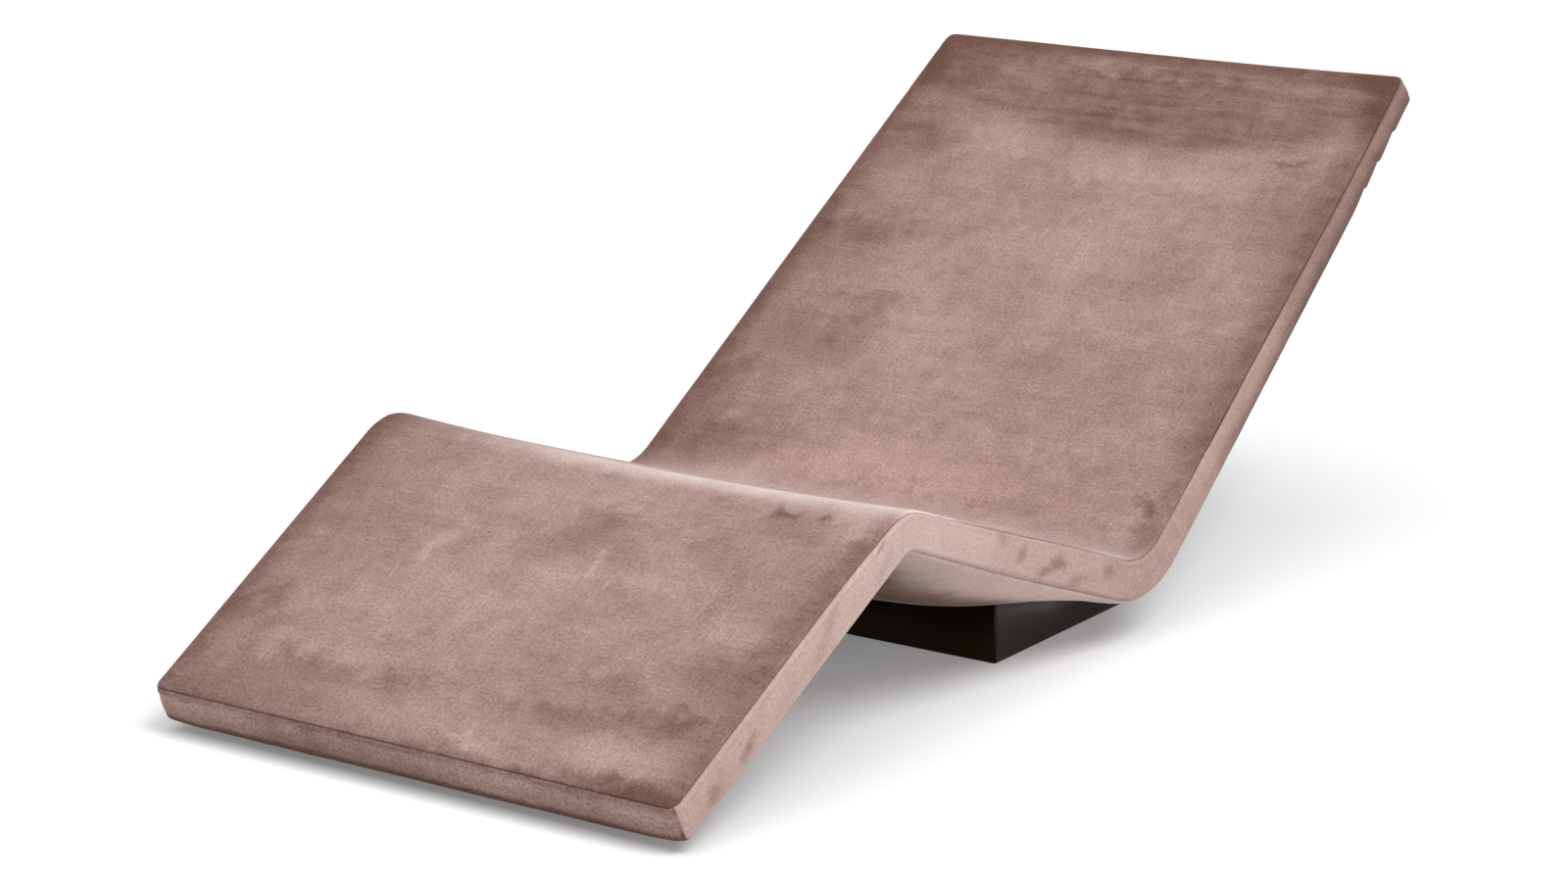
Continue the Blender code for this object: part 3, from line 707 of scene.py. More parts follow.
def run_cloth(mesh, pinned):
    """Places of the mesh's points after the pressure has swollen it."""
    cloth = bpy.data.objects.new("cover_cloth", mesh)
    bpy.context.scene.collection.objects.link(cloth)
    cloth.vertex_groups.new(name="sewn").add(pinned, 1.0, "REPLACE")
    step = cloth.modifiers.new("swell", "CLOTH")
    step.settings.quality = CLOTH_QUALITY
    step.settings.use_pressure = True
    step.settings.uniform_pressure_force = PRESSURE
    step.settings.shrink_min = SLACK
    step.settings.vertex_group_mass = "sewn"
    step.settings.effector_weights.gravity = 0
    step.collision_settings.use_collision = False
    for number in range(1, SWELL_FRAMES + 1):
        bpy.context.scene.frame_set(number)
    view = bpy.context.evaluated_depsgraph_get()
    places = [vert.co.copy() for vert in cloth.evaluated_get(view).data.vertices]
    bpy.data.objects.remove(cloth, do_unlink=True)
    bpy.context.scene.frame_set(1)
    return places


def swell_cover(shape):
    layers = grid_layers(shape)
    shape.verts.index_update()
    shape.normal_update()
    pinned = [v.index for v in shape.verts if is_rim(v, layers) or over_plinth(v, layers)]
    mesh = bpy.data.meshes.new("cover_cloth")
    shape.to_mesh(mesh)
    far = 0.0
    for vert, target in zip(shape.verts, run_cloth(mesh, pinned)):
        move = (target - vert.co).dot(vert.normal)
        far = max(far, move)
        row, level = round(vert[layers[0]]), round(vert[layers[2]])
        free = 1 - knee_press(ROWS[row]) if level == 0 else 1.0
        vert.co += vert.normal * SWELL_CAP * free * math.tanh(max(0.0, move) / SWELL_CAP)
    bpy.data.meshes.remove(mesh)
    return far


free_move = swell_cover(board)
print("swollen: furthest free move", round(1000 * free_move, 1), "mm, cap", 1000 * SWELL_CAP, "mm")

# %% [markdown]
# ## Seams
#
# A seam pulls both cloths inwards, and the allowance folded behind the band shows as a low ridge beside
# it. The top lifts in a shallow fold along its seam, and on the upper back the band is dragged into
# long creases. All are moves along the surface normal, after the simulation, because they are finer
# than its cells.

# %% Seams
SEAM_DEPTH = 0.0016
CORNER_SEAM_DEPTH = 0.0010
UNDER_SEAM_DEPTH = 0.0014
RIDGE_HEIGHT = 0.0012
RIDGE_LEVELS = (2, 3)
SEAM_WANDER = 30.0
SEAM_UNEVEN = 0.35
FOLD_STEP = 3
FOLD_HEIGHT = 0.0007
FOOT_FOLD_HEIGHT = 0.0015
FOLD_WANDER = 9.0
DRAG_HEIGHT = 0.0014
DRAG_RUN = 5.0
DRAG_CLOSE = 70.0
DRAG_START = 0.25


def seam_move(vert, layers):
    """How far a point moves out along its normal because of the seams."""
    row, column, level = (round(vert[layer]) for layer in layers)
    uneven = 1 + SEAM_UNEVEN * noise.noise(vert.co * SEAM_WANDER)
    on_side = column in (0, LAST_COLUMN)
    on_end = row in (0, LAST_ROW)
    if is_rim(vert, layers):
        return -SEAM_DEPTH * uneven
    if on_side and on_end:
        return -CORNER_SEAM_DEPTH * uneven
    if (on_side or on_end) and (level in RIDGE_LEVELS or LAST_LEVEL - level in RIDGE_LEVELS):
        return RIDGE_HEIGHT * uneven
    if on_side and 0 < level < LAST_LEVEL:
        drag = noise.noise(Vector((ROWS[row] * DRAG_RUN, LEVELS[level] * DRAG_CLOSE, column)))
        return DRAG_HEIGHT * drag * unit((ROWS[row] - FOLD) / DRAG_START)
    if level == 0 and FOLD_STEP in (row, LAST_ROW - row, column, LAST_COLUMN - column):
        height = FOOT_FOLD_HEIGHT if row == FOLD_STEP else FOLD_HEIGHT
        return height * (uneven + noise.noise(vert.co * FOLD_WANDER))
    if level == LAST_LEVEL and ROWS[row] in (KNEE, FOLD):
        return -UNDER_SEAM_DEPTH * uneven
    return 0.0


def sew(shape):
    shape.normal_update()
    layers = grid_layers(shape)
    moves = [vert.normal * seam_move(vert, layers) for vert in shape.verts]
    for vert, move in zip(shape.verts, moves):
        vert.co += move
    return sum(1 for move in moves if move.length > 0)


print("seams:", sew(board), "points moved")

# %% [markdown]
# ## Velvet
#
# Velvet shows where a hand has brushed it: the pile leans another way there and looks lighter or
# darker. So the colour comes from one number, the nap, from 0, pile leaning away, to 1, pile leaning to
# the light. Broad noises make the lean: brushed clouds, patches, sweeps of the hand and mottles. Painted
# shade lowers it towards the seams and the hem, where the padded edges roll away from the light, and a
# smooth step keeps it from ever going flat. The threads of the ground cloth and single tufts come on
# top of that, weaker where the cloth is dark. Where the marks ask for it, a pale colour is blended over
# the nap as a painted highlight.

# %% Velvet
PILE_DARK = rgb(0.128, 0.060, 0.042)
PILE_LIGHT = rgb(0.560, 0.385, 0.342)
# The pale colour of the painted highlights, blended over the nap by the marks.
PILE_HIGHLIGHT = rgb(0.830, 0.680, 0.635)
SEAM_SHADE = rgb(0.075, 0.038, 0.030)
SHEEN_TINT = rgb(0.95, 0.80, 0.75)
NOISES = {
    # waves to the metre, detail and distortion
    "clouds": (3.0, 3.0, 0.8),
    "patches": (10.0, 4.0, 1.2),
    "mottles": (42.0, 4.0, 0.5),
    "tufts": (250.0, 3.0),
    "specks": (800.0, 1.0),
}
SWEEP_STRETCH = (7.0, 55.0)
SWEEP_GRAIN = (1.0, 3.0, 0.6)
THREADS = 420.0
THREAD_RUN = 30.0
CLOUD_SHARE = 0.60
STROKE_SHARES = {"patches": 0.50, "sweeps": 0.25, "mottles": 0.42}
PILE_SHARES = {"threads": 0.60, "tufts": 1.00, "specks": 0.70}
HIGHLIGHT_SHARES = {"tufts": 1.2, "patches": 0.8}
RELIEF_SHARES = {"tufts": 0.8, "threads": 0.5, "mottles": 0.6}
RELIEF_STRENGTH = 0.30
RELIEF_HEIGHT = 0.0010
LEAN_LIMITS = (-0.35, 1.35)
LEAST_PILE = 0.30
EDGE_PATCHES = 0.6
SEAM_LINE = (0.0001, 0.0013)
SEAM_STRENGTH = 0.75
SEAM_PATCHES = 0.9
STITCH = 0.0048
STITCH_STRENGTH = 0.25
VELVET_ROUGHNESS = 0.86
ROUGHNESS_MOTTLES = 0.25


def split(vector):
    """The x and y of a vector, as two wires."""
    first = vector.node("SeparateXYZ", None, {"Vector": vector}, out="X")
    return first, Wire(vector.tree, first.socket.node.outputs["Y"])


def brushed_noises(cloth):
    """The noises of the nap, each from -0.5 to 0.5."""
    noises = {name: grain(cloth, *values) for name, values in NOISES.items()}
    noises["sweeps"] = grain(stretched(cloth, *SWEEP_STRETCH), *SWEEP_GRAIN)
    warp = grain(stretched(cloth, THREADS, THREAD_RUN), 1.0)
    weft = grain(stretched(cloth, THREAD_RUN, THREADS), 1.0)
    noises["threads"] = 0.5 * (warp + weft)
    return {name: value - 0.5 for name, value in noises.items()}


def shared(noises, shares):
    """A sum of noises, each with its share."""
    return sum(share * noises[name] for name, share in shares.items())


def velvet(name, marks, offset, base, edge_shade, edge_reach, strokes=1.0, sheen=0.40):
    """A cut of the velvet, offset in the noises. Its marks give a change of the lean, painted light and shade
    included, and a painted highlight or None.
    """
    finish, wire = new_finish(
        name, Sheen_Weight=sheen, Sheen_Roughness=0.35, Sheen_Tint=SHEEN_TINT, Specular_IOR_Level=0.10)
    flat = wire.node("UVMap", {"uv_map": "flat"})
    edge = wire.node("Attribute", {"attribute_name": "edge"}, out="Fac")
    noises = brushed_noises(flat.node("Mapping", None, {"Vector": flat, "Location": offset}))
    change, highlight = marks(flat, noises)
    lean = base + CLOUD_SHARE * noises["clouds"] + strokes * shared(noises, STROKE_SHARES) + change
    # Painted shade: the lean falls within the reach of a seam or of the hem.
    lean = lean - (1 - edge.step(0.0, edge_reach)) * (edge_shade + EDGE_PATCHES * noises["patches"])
    soft = lean.step(*LEAN_LIMITS)
    nap = soft + strokes * (LEAST_PILE + soft) * shared(noises, PILE_SHARES)
    colour = nap.clipped().colours(PILE_DARK, PILE_LIGHT)
    # Painted highlight: the pale colour is blended in where the marks' highlight mask is up.
    if highlight:
        softened = (highlight * (1 + shared(noises, HIGHLIGHT_SHARES))).clipped()
        colour = softened.colours(colour, PILE_HIGHLIGHT)
    first, second = split(flat)
    stitches = ((first + second) * (2 * math.pi / STITCH)).maths("SINE")
    sewn = SEAM_STRENGTH + SEAM_PATCHES * noises["patches"] + STITCH_STRENGTH * stitches
    seam = (1 - edge.step(*SEAM_LINE)) * sewn
    feed(finish, Base_Color=seam.clipped().colours(colour, SEAM_SHADE))
    feed(finish, Roughness=VELVET_ROUGHNESS + ROUGHNESS_MOTTLES * noises["mottles"])
    feed(finish, Normal=bumped(shared(noises, RELIEF_SHARES), RELIEF_STRENGTH * strokes, RELIEF_HEIGHT))
    return finish


# %% [markdown]
# ## Marks, painted light and painted shade on the velvet
#
# The head end is brushed against the pile down to a curved limit, and nap marks lie about the cloth.
# On top come painted light and shade: a painted highlight on the crest under the knees, on the seat and
# in the fold's hollow, which are seen at a glancing angle, and painted shade along edges and rolls.
# These are soft masks over the flat cloth, in metres, so they stay on the cloth in any view. A pair of
# values is where a mask climbs from 0 to 1, and two pairs are where it climbs and falls again.

# %% Marks, painted light and painted shade on the velvet
# Smudges on the top: dark and pale nap marks, together with patches of painted shade and painted light, such
# as the shaded hollow by the fold's near edge.
SMUDGES = (
    # station, across, half length, half width, turn in degrees, change of the lean
    (0.372, 0.030, 0.040, 0.055, 0, -0.28),
    (0.330, 0.110, 0.030, 0.045, 0, -0.16),
    (0.315, 0.062, 0.034, 0.010, 12, 0.26),
    (0.290, -0.150, 0.060, 0.012, -18, 0.22),
    (0.276, 0.018, 0.050, 0.060, 0, 0.14),
    (0.447, 0.232, 0.014, 0.022, 25, -0.42),
    (0.453, 0.290, 0.010, 0.016, 0, -0.40),
    (0.425, 0.250, 0.020, 0.060, 0, -0.14),
    (0.190, 0.310, 0.045, 0.060, 15, -0.26),
    (0.105, 0.290, 0.030, 0.080, 0, -0.30),
    (0.088, 0.170, 0.020, 0.110, 6, -0.20),
    (0.050, 0.255, 0.030, 0.080, 0, 0.22),
    (0.450, 0.350, 0.034, 0.050, 0, 0.34),
    (0.080, -0.100, 0.020, 0.110, 4, -0.16),
    (0.024, 0.020, 0.032, 0.300, 0, 0.19),
    (0.026, 0.070, 0.010, 0.050, -8, 0.25),
    (0.006, 0.335, 0.030, 0.095, 0, -0.27),
    (0.056, -0.200, 0.050, 0.140, 0, -0.32),
    (0.016, 0.140, 0.016, 0.070, 0, 0.20),
    (0.146, 0.210, 0.030, 0.060, 0, -0.20),
    (0.146, -0.310, 0.045, 0.055, 0, -0.26),
    (0.324, 0.000, 0.030, 0.050, 0, -0.20),
    (0.210, -0.120, 0.070, 0.110, 0, 0.12),
    (0.250, 0.345, 0.110, 0.030, 0, -0.12),
    (1.030, 0.325, 0.060, 0.100, 0, -0.20),
    (1.075, 0.375, 0.035, 0.022, 0, -0.16),
    (1.124, -0.225, 0.050, 0.075, 0, -0.26),
    (1.206, -0.332, 0.060, 0.045, 0, -0.24),
    (1.110, -0.040, 0.050, 0.240, 0, 0.16),
    (1.116, 0.365, 0.016, 0.014, 30, -0.42),
    (1.130, 0.345, 0.010, 0.022, 0, -0.35),
    (1.328, -0.250, 0.090, 0.110, 0, -0.20),
    (1.392, -0.190, 0.030, 0.060, 0, -0.16),
    (1.520, -0.250, 0.040, 0.120, 8, -0.20),
    (1.110, -0.320, 0.060, 0.080, 0, -0.22),
    (1.800, 0.325, 0.040, 0.050, 0, 0.22),
    (1.520, 0.064, 0.070, 0.012, 0, 0.16),
    (1.690, 0.060, 0.035, 0.180, 0, 0.16),
    (1.640, 0.300, 0.100, 0.060, 0, -0.16),
    (1.735, 0.270, 0.010, 0.030, 0, -0.30),
    (1.895, -0.010, 0.026, 0.200, 0, 0.30),
    (1.905, 0.345, 0.026, 0.045, 0, -0.30),
    (1.715, -0.280, 0.085, 0.075, 0, -0.34),
)
# Dark nap marks on the band; the last one is painted shade in a small pinch crease at the knee.
BAND_SMUDGES = (
    # station, depth, half length, half depth, turn in degrees, change of the lean
    (0.700, 0.014, 0.016, 0.012, 20, -0.30),
    (0.748, 0.026, 0.014, 0.014, 20, -0.45),
    (0.830, 0.024, 0.026, 0.012, 20, -0.50),
    (0.800, 0.036, 0.016, 0.008, 20, -0.40),
    (0.880, 0.040, 0.030, 0.008, 20, -0.30),
    (0.952, 0.022, 0.014, 0.014, 20, -0.40),
    (0.420, 0.030, 0.030, 0.010, 20, -0.30),
    (0.300, 0.020, 0.050, 0.010, 20, -0.25),
    (0.130, 0.030, 0.020, 0.012, 20, -0.45),
    (0.060, 0.026, 0.020, 0.012, 20, -0.35),
    (0.430, 0.006, 0.016, 0.004, 20, -0.55),
)
SMUDGE_RIM = (0.15, 1.25)
TOP_RAGGED = 0.06
RIM_RAGGED = 0.018
BAND_RAGGED = 0.035
END_RAGGED = 0.008


def smudge(flat, station, across, half_long, half_wide, turn):
    """A soft oval on the flat cloth, 1 in the middle and 0 at its rim."""
    values = {
        "Vector": flat, "Location": (across, station, 0), "Rotation": (0, 0, math.radians(turn)),
        "Scale": (half_wide, half_long, 1)}
    oval = flat.node("Mapping", {"vector_type": "TEXTURE"}, values)
    return 1 - flat.node("VectorMath", {"operation": "LENGTH"}, {0: oval}, out="Value").step(*SMUDGE_RIM)


def smudged(flat, smudges):
    """The change of the lean by a list of smudges."""
    return sum(strength * smudge(flat, *oval) for *oval, strength in smudges)


def wandering(flat, noises, reach):
    """The flat place, pushed about by the noises so that a mark's rim is ragged."""
    push = flat.node("CombineXYZ", None, {"X": reach * noises["patches"], "Y": reach * noises["mottles"]})
    return flat.node("VectorMath", {"operation": "ADD"}, {0: flat, 1: push})


# The top: the head's brushed mark is dark; painted shade darkens the far side and the near rim of the back,
# and a painted highlight makes the crest, the seat and the fold's hollow pale.
HEAD_MIDDLE = 0.03
HEAD_CURVE = 0.55
HEAD_MARK = (1.719, 1.759)
HEAD_SHADE = 0.36
HEAD_SWEEPS = 0.30
FAR_SIDE = (-0.39, -0.14)
FAR_SHADE = 0.24
NEAR_RIM = (0.22, 0.40)
NEAR_SHADE = 0.10
BACK_RISE = (1.10, 1.30)
CREST_RUN = ((0.452, 0.520), (0.530, 0.680))
CREST_SIDE = (-0.36, 0.02)
CREST_HIGHLIGHT = 0.94
SEAT_RUN = ((0.530, 0.680), (0.930, 1.090))
SEAT_HIGHLIGHT = 0.26
FOLD_RUN = ((0.860, 0.960), (0.975, 1.080))
FOLD_HIGHLIGHT = 0.20


def top_marks(flat, noises):
    ragged = wandering(flat, noises, TOP_RAGGED)
    across, station = split(ragged)
    off_middle = across - HEAD_MIDDLE
    head = (station - HEAD_CURVE * off_middle * off_middle).step(*HEAD_MARK)
    change = head * (HEAD_SWEEPS * noises["sweeps"] - HEAD_SHADE) + smudged(ragged, SMUDGES)
    across, station = split(wandering(flat, noises, RIM_RAGGED))
    far_side = 1 - across.step(*FAR_SIDE)
    back_rim = across.step(*NEAR_RIM) * station.step(*BACK_RISE)
    crest = station.between(*CREST_RUN) * across.step(*CREST_SIDE)
    seat_and_fold_highlight = SEAT_HIGHLIGHT * station.between(*SEAT_RUN) + FOLD_HIGHLIGHT * station.between(*FOLD_RUN)
    return change - FAR_SHADE * far_side - NEAR_SHADE * back_rim, CREST_HIGHLIGHT * crest + seat_and_fold_highlight


# The side bands: painted shade darkens them up the back, where painted light keeps the upper half paler than
# the lower, and a painted highlight makes them palest at the knee.
BAND_FALL = (0.70, 1.90)
BAND_SHADE = 0.85
BAND_UPPER = (0.008, 0.028)
BAND_LOWER = (0.020, 0.034)
BAND_CONTRAST = 0.24
KNEE_RUN = ((0.10, 0.42), (0.56, 0.74))
KNEE_HIGHLIGHT = 0.17


def band_marks(flat, noises):
    ragged = wandering(flat, noises, BAND_RAGGED)
    depth, station = split(ragged)
    contrast = 1 - depth.step(*BAND_UPPER) - depth.step(*BAND_LOWER)
    change = smudged(ragged, BAND_SMUDGES) - BAND_SHADE * station.step(*BAND_FALL)
    change = change + BAND_CONTRAST * station.step(*BACK_RISE) * contrast
    return change, KNEE_HIGHLIGHT * station.between(*KNEE_RUN)


# The end bands: a painted highlight a little below the upper seam, and painted shade where they roll under
# towards the floor. They take no pale highlight colour.
END_GLOW = ((0.006, 0.014), (0.018, 0.032))
END_HIGHLIGHT = 0.18
END_ROLL = (0.032, 0.049)
END_SHADE = 0.90


def end_marks(flat, noises):
    depth = split(wandering(flat, noises, END_RAGGED))[1]
    return END_HIGHLIGHT * depth.between(*END_GLOW) - END_SHADE * depth.step(*END_ROLL), None


# The belly: a painted highlight along its sides, where the side light reaches under, and painted shade where
# it turns under to the plinth in the shadow of the leg.
BELLY_RIM = (0.053, 0.122)
BELLY_RUN = ((0.47, 0.50), (1.00, 1.12))
BELLY_TURN = (0.34, 0.49)
BELLY_SIDE = (0.100, 0.132)
BELLY_REAR = (0.80, 1.00)
BELLY_SHADE = 0.95
BELLY_SWEEPS = 0.4
BELLY_HIGHLIGHT = 0.29
HIGHLIGHT_SWEEPS = 0.5


def under_marks(flat, noises):
    across, station = split(flat)
    off_middle = across * across
    rim = off_middle.step(*BELLY_RIM) * station.between(*BELLY_RUN)
    inwards = station - off_middle ** 0.5
    turned = inwards.step(*BELLY_TURN) * (1 - off_middle.step(*BELLY_SIDE)) * (1 - station.step(*BELLY_REAR))
    pale = rim * (1 - turned)
    change = BELLY_SWEEPS * noises["sweeps"] - BELLY_SHADE * (1 - pale)
    return change, BELLY_HIGHLIGHT * pale * (1 + HIGHLIGHT_SWEEPS * noises["sweeps"])


# The base lean differs by cut as painted light and shade: the side bands and the underside are painted paler
# and the end bands darker, for how each faces the lamps.
top_velvet = velvet("velvet_top", top_marks, (0.0, 0.0, 0.0), base=0.60, edge_shade=0.36, edge_reach=0.055)
band_velvet = velvet(
    "velvet_band", band_marks, (5.0, 2.0, 0.0), base=0.94, edge_shade=0.10, edge_reach=0.006, strokes=0.70)
end_velvet = velvet(
    "velvet_end", end_marks, (9.0, 4.0, 0.0), base=0.42, edge_shade=0.24, edge_reach=0.009, strokes=1.30)
under_velvet = velvet(
    "velvet_under", under_marks, (13.0, 6.0, 0.0), base=1.00, edge_shade=0.20, edge_reach=0.015,
    strokes=0.80, sheen=0.20)
print("velvet: four cuts of one cloth,", len(SMUDGES), "smudges on the top")

# %% [markdown]
# ## Panels
#
# The bag is cut along its seams into the eight panels that a sewer would join, so each has its own
# piece. A panel gets the thickness of its cloth on the inner side and one subdivision. The two panels
# round the plinth lose what lies over it and end in a stitched hem along its walls.

# %% Panels
CLOTH_THICKNESS = 0.0015
PLINTH_TUCK = 0.0010
SOFT_SEAM = 0.0006
SOFT_SEAM_FADE = 0.15
OPEN_SEAM = -0.0005
HEM = 0.006
HEM_CUTS = (0.0042, HEM, 0.0078, 0.0140)
HEM_DEPTH = 0.0014
HEM_ZONE = 0.030
HEM_SNAP = 0.0001
STITCH_SNAP = 0.0003
HEMMED = ("seat_under_panel", "back_under_panel")
SIDE_BANDS = ("left_band", "right_band")
END_BANDS = ("foot_band", "head_band")
LEVEL_AXES = (Vector((1, 0, 0)), Vector((0, 1, 0)))


def panel_name(face, layers):
    rows, columns, levels = ([round(v[layer]) for v in face.verts] for layer in layers)
    if max(levels) == 0:
        return "top_panel"
    if min(levels) == LAST_LEVEL:
        station = ROWS[min(rows)]
        if station < KNEE:
            return "leg_under_panel"
        return "seat_under_panel" if station < FOLD else "back_under_panel"
    if max(columns) == 0:
        return "right_band"
    if min(columns) == LAST_COLUMN:
        return "left_band"
    return "foot_band" if max(rows) == 0 else "head_band"


def pattern_place(name, flat):
    """Place of a point on its cloth, in metres, as if the panel lay flat."""
    across, station, depth = flat
    if name in SIDE_BANDS:
        return depth, station
    if name in END_BANDS:
        return across, depth
    return across, station


def seam_distance(name, flat):
    """Distance to the nearest seam. Side seams and corners of leg and seat lie closed and show less."""
    across, station, depth = flat
    shut = unit((BACK_START + SOFT_SEAM_FADE - station) / SOFT_SEAM_FADE)
    closed = OPEN_SEAM + (SOFT_SEAM - OPEN_SEAM) * shut
    side = half_width(station) - abs(across) + closed
    end = min(station, BODY_END - station)
    if name in SIDE_BANDS:
        return min(depth, thickness(station) - depth, end) + closed
    if name in END_BANDS:
        return min(depth, thickness(station) - depth, side)
    if name == "top_panel":
        return min(side, end)
    return min(side, end, abs(station - KNEE), abs(station - FOLD))


def hem_distance(name, spot):
    """Distance to the hem's stitches, which only the two panels round the plinth have."""
    return abs(plinth_gap(spot) - HEM) if name in HEMMED else math.inf


def slice_at(shape, faces, spot, normal, snap):
    """Cuts faces of a shape along a plane. Points that are no further from it than snap lie on it."""
    edges = {edge for face in faces for edge in face.edges}
    verts = {vert for face in faces for vert in face.verts}
    bmesh.ops.bisect_plane(shape, geom=[*verts, *edges, *faces], plane_co=spot, plane_no=normal, dist=snap)


def cut_round_plinth(shape, outward):
    """Cuts what is close to the plinth along four planes that lie this far outside its walls."""
    for corner, inward in ((PLINTH_LOW, 1), (PLINTH_HIGH, -1)):
        for normal in LEVEL_AXES:
            close = [face for face in shape.faces if plinth_gap(face.calc_center_median()) < HEM_ZONE]
            slice_at(shape, close, corner - inward * outward * normal, normal, HEM_SNAP)


def hem_round_plinth(shape):
    """Drops what lies over the plinth, and presses the stitched line of the hem into the rest."""
    for outward in (-PLINTH_TUCK,) + HEM_CUTS:
        cut_round_plinth(shape, outward)
    inside = [face for face in shape.faces if plinth_gap(face.calc_center_median()) == 0]
    bmesh.ops.delete(shape, geom=inside, context="FACES")
    shape.normal_update()
    stitched = [vert for vert in shape.verts if abs(plinth_gap(vert.co) - HEM) < STITCH_SNAP]
    moves = [vert.normal * -HEM_DEPTH for vert in stitched]
    for vert, move in zip(stitched, moves):
        vert.co += move


def cut_panel(name):
    shape = board.copy()
    layers = grid_layers(shape)
    flat = shape.verts.layers.float_vector["flat"]
    others = [face for face in shape.faces if panel_name(face, layers) != name]
    bmesh.ops.delete(shape, geom=others, context="FACES")
    if name in HEMMED:
        hem_round_plinth(shape)
    pattern = shape.loops.layers.uv.new("flat")
    # The distance to the nearest seam or to the hem drives the dark seam line and the painted shade beside
    # it.
    edge = shape.verts.layers.float.new("edge")
    for vert in shape.verts:
        vert[edge] = min(seam_distance(name, vert[flat]), hem_distance(name, vert.co))
        for loop in vert.link_loops:
            loop[pattern].uv = pattern_place(name, vert[flat])
    return shape


def finish_panel(name, shape, finish):
    panel = new_piece(name, shape, finish)
    wall = panel.modifiers.new("cloth", "SOLIDIFY")
    wall.thickness = CLOTH_THICKNESS
    wall.offset = -1
    for crease in ("edge_crease_rim", "edge_crease_outer", "edge_crease_inner"):
        setattr(wall, crease, 1.0)
    smooth = panel.modifiers.new("smooth", "SUBSURF")
    smooth.levels = 1
    smooth.render_levels = 1
    return panel


FOAMS = ("leg_foam", "seat_foam", "back_foam")
PADS = ("leg_under_padding", "seat_under_padding", "back_under_padding")
PANELS = {
    "top_panel": ("cover_top", top_velvet, (FOLD_WIDTH, BODY_END), FOAMS),
    "left_band": ("cover_side_left", band_velvet, (THICKNESS, BODY_END), FOAMS),
    "right_band": ("cover_side_right", band_velvet, (THICKNESS, BODY_END), FOAMS),
    "foot_band": ("cover_foot_band", end_velvet, (THICKNESS, FOOT_WIDTH), FOAMS[:1]),
    "head_band": ("cover_head_band", end_velvet, (THICKNESS - HEAD_THINNING, HEAD_WIDTH), FOAMS[2:]),
    "leg_under_panel": ("cover_leg_under", under_velvet, (KNEE_WIDTH, KNEE), PADS[:1]),
    "seat_under_panel": ("cover_seat_under", under_velvet, (FOLD_WIDTH, FOLD - KNEE), PADS[1:2]),
    "back_under_panel": ("cover_back_under", under_velvet, (FOLD_WIDTH, BODY_END - FOLD), PADS[2:]),
}
for name, (node, finish, flat_size, carriers) in PANELS.items():
    panel = finish_panel(name, cut_panel(name), finish)
    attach(panel, BODY)
    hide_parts(node)
    print("panel:", name, len(panel.data.polygons), "faces")
board.free()

# %% [markdown]
# ## Plinth
#
# The plinth is a box of folded sheet without top or bottom, lacquered dark bronze. Its upper edge
# follows the bent underside, so the walls start as a plain box, are cut into strips, and their top
# points then drop to that line.

# %% Plinth
SHEET = 0.004
FOLD_EDGE = 0.0035
FLANGE = 0.014
STRIPS = 28
SADDLE_INSET = 0.0011
HALVINGS = 40
WELD = 0.00001
PLINTH_SHARP = math.radians(40)
LACQUER = (rgb(0.020, 0.0130, 0.0078), rgb(0.032, 0.0212, 0.0130))


def underside_height(y):
    """Height of the body's underside over a place along Y."""
    low, high = 0.0, BODY_END
    for _ in range(HALVINGS):
        middle = (low + high) / 2
        if place(middle, 0, thickness(middle) - SADDLE_INSET).y < y:
            low = middle
        else:
            high = middle
    return place(low, 0, thickness(low) - SADDLE_INSET).z


def at_foot(vert, wall):
    """True on the lower edge of the wall that lies at this place along Y."""
    return vert.co.z < SHEET and abs(vert.co.y - wall) < SHEET / 10


def plinth_box():
    shape = bmesh.new()
    size = PLINTH_HIGH - PLINTH_LOW
    top = underside_height(PLINTH_LOW.y)
    bmesh.ops.create_cube(shape, size=1)
    bmesh.ops.scale(shape, verts=shape.verts[:], vec=(size.x, size.y, top))
    bmesh.ops.translate(shape, verts=shape.verts[:], vec=(PLINTH_LOW + PLINTH_HIGH + Vector((0, 0, top))) / 2)
    ends = [face for face in shape.faces if abs(face.normal.z) > 0.5]
    bmesh.ops.delete(shape, geom=ends, context="FACES_ONLY")
    corners = [edge for edge in shape.edges if abs(edge.verts[0].co.z - edge.verts[1].co.z) > top / 2]
    bmesh.ops.bevel(
        shape, geom=corners, offset=FOLD_EDGE, offset_type="OFFSET", affect="EDGES",
        segments=4, profile=0.5, material=-1)
    for number in range(1, STRIPS):
        spot = Vector((0, PLINTH_LOW.y + size.y * number / STRIPS, 0))
        slice_at(shape, shape.faces[:], spot, LEVEL_AXES[1], WELD)
    for vert in shape.verts:
        if vert.co.z > top / 2:
            vert.co.z = underside_height(vert.co.y)
    for wall, inward in ((PLINTH_LOW.y, 1), (PLINTH_HIGH.y, -1)):
        lip = [edge for edge in shape.edges if all(at_foot(vert, wall) for vert in edge.verts)]
        folded = bmesh.ops.extrude_edge_only(shape, edges=lip)["geom"]
        points = [item for item in folded if isinstance(item, bmesh.types.BMVert)]
        bmesh.ops.translate(shape, verts=points, vec=(0, inward * FLANGE, 0))
    bmesh.ops.recalc_face_normals(shape, faces=shape.faces[:])
    return shape


lacquer = plain_coat(
    "plinth_lacquer", (9.0, 3.0), 500.0, LACQUER, roughness=(0.34, 0.14), bump=(0.08, 0.0004), Metallic=1.0)
plinth = new_piece("plinth_shell", plinth_box(), lacquer)
plinth.data.set_sharp_from_angle(angle=PLINTH_SHARP)
sheet_metal = plinth.modifiers.new("sheet", "SOLIDIFY")
sheet_metal.thickness = SHEET
sheet_metal.offset = -1
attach(plinth, BODY)
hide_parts("plinth_front", "plinth_rear", "plinth_left", "plinth_right")
print("plinth:", len(plinth.data.polygons), "faces")

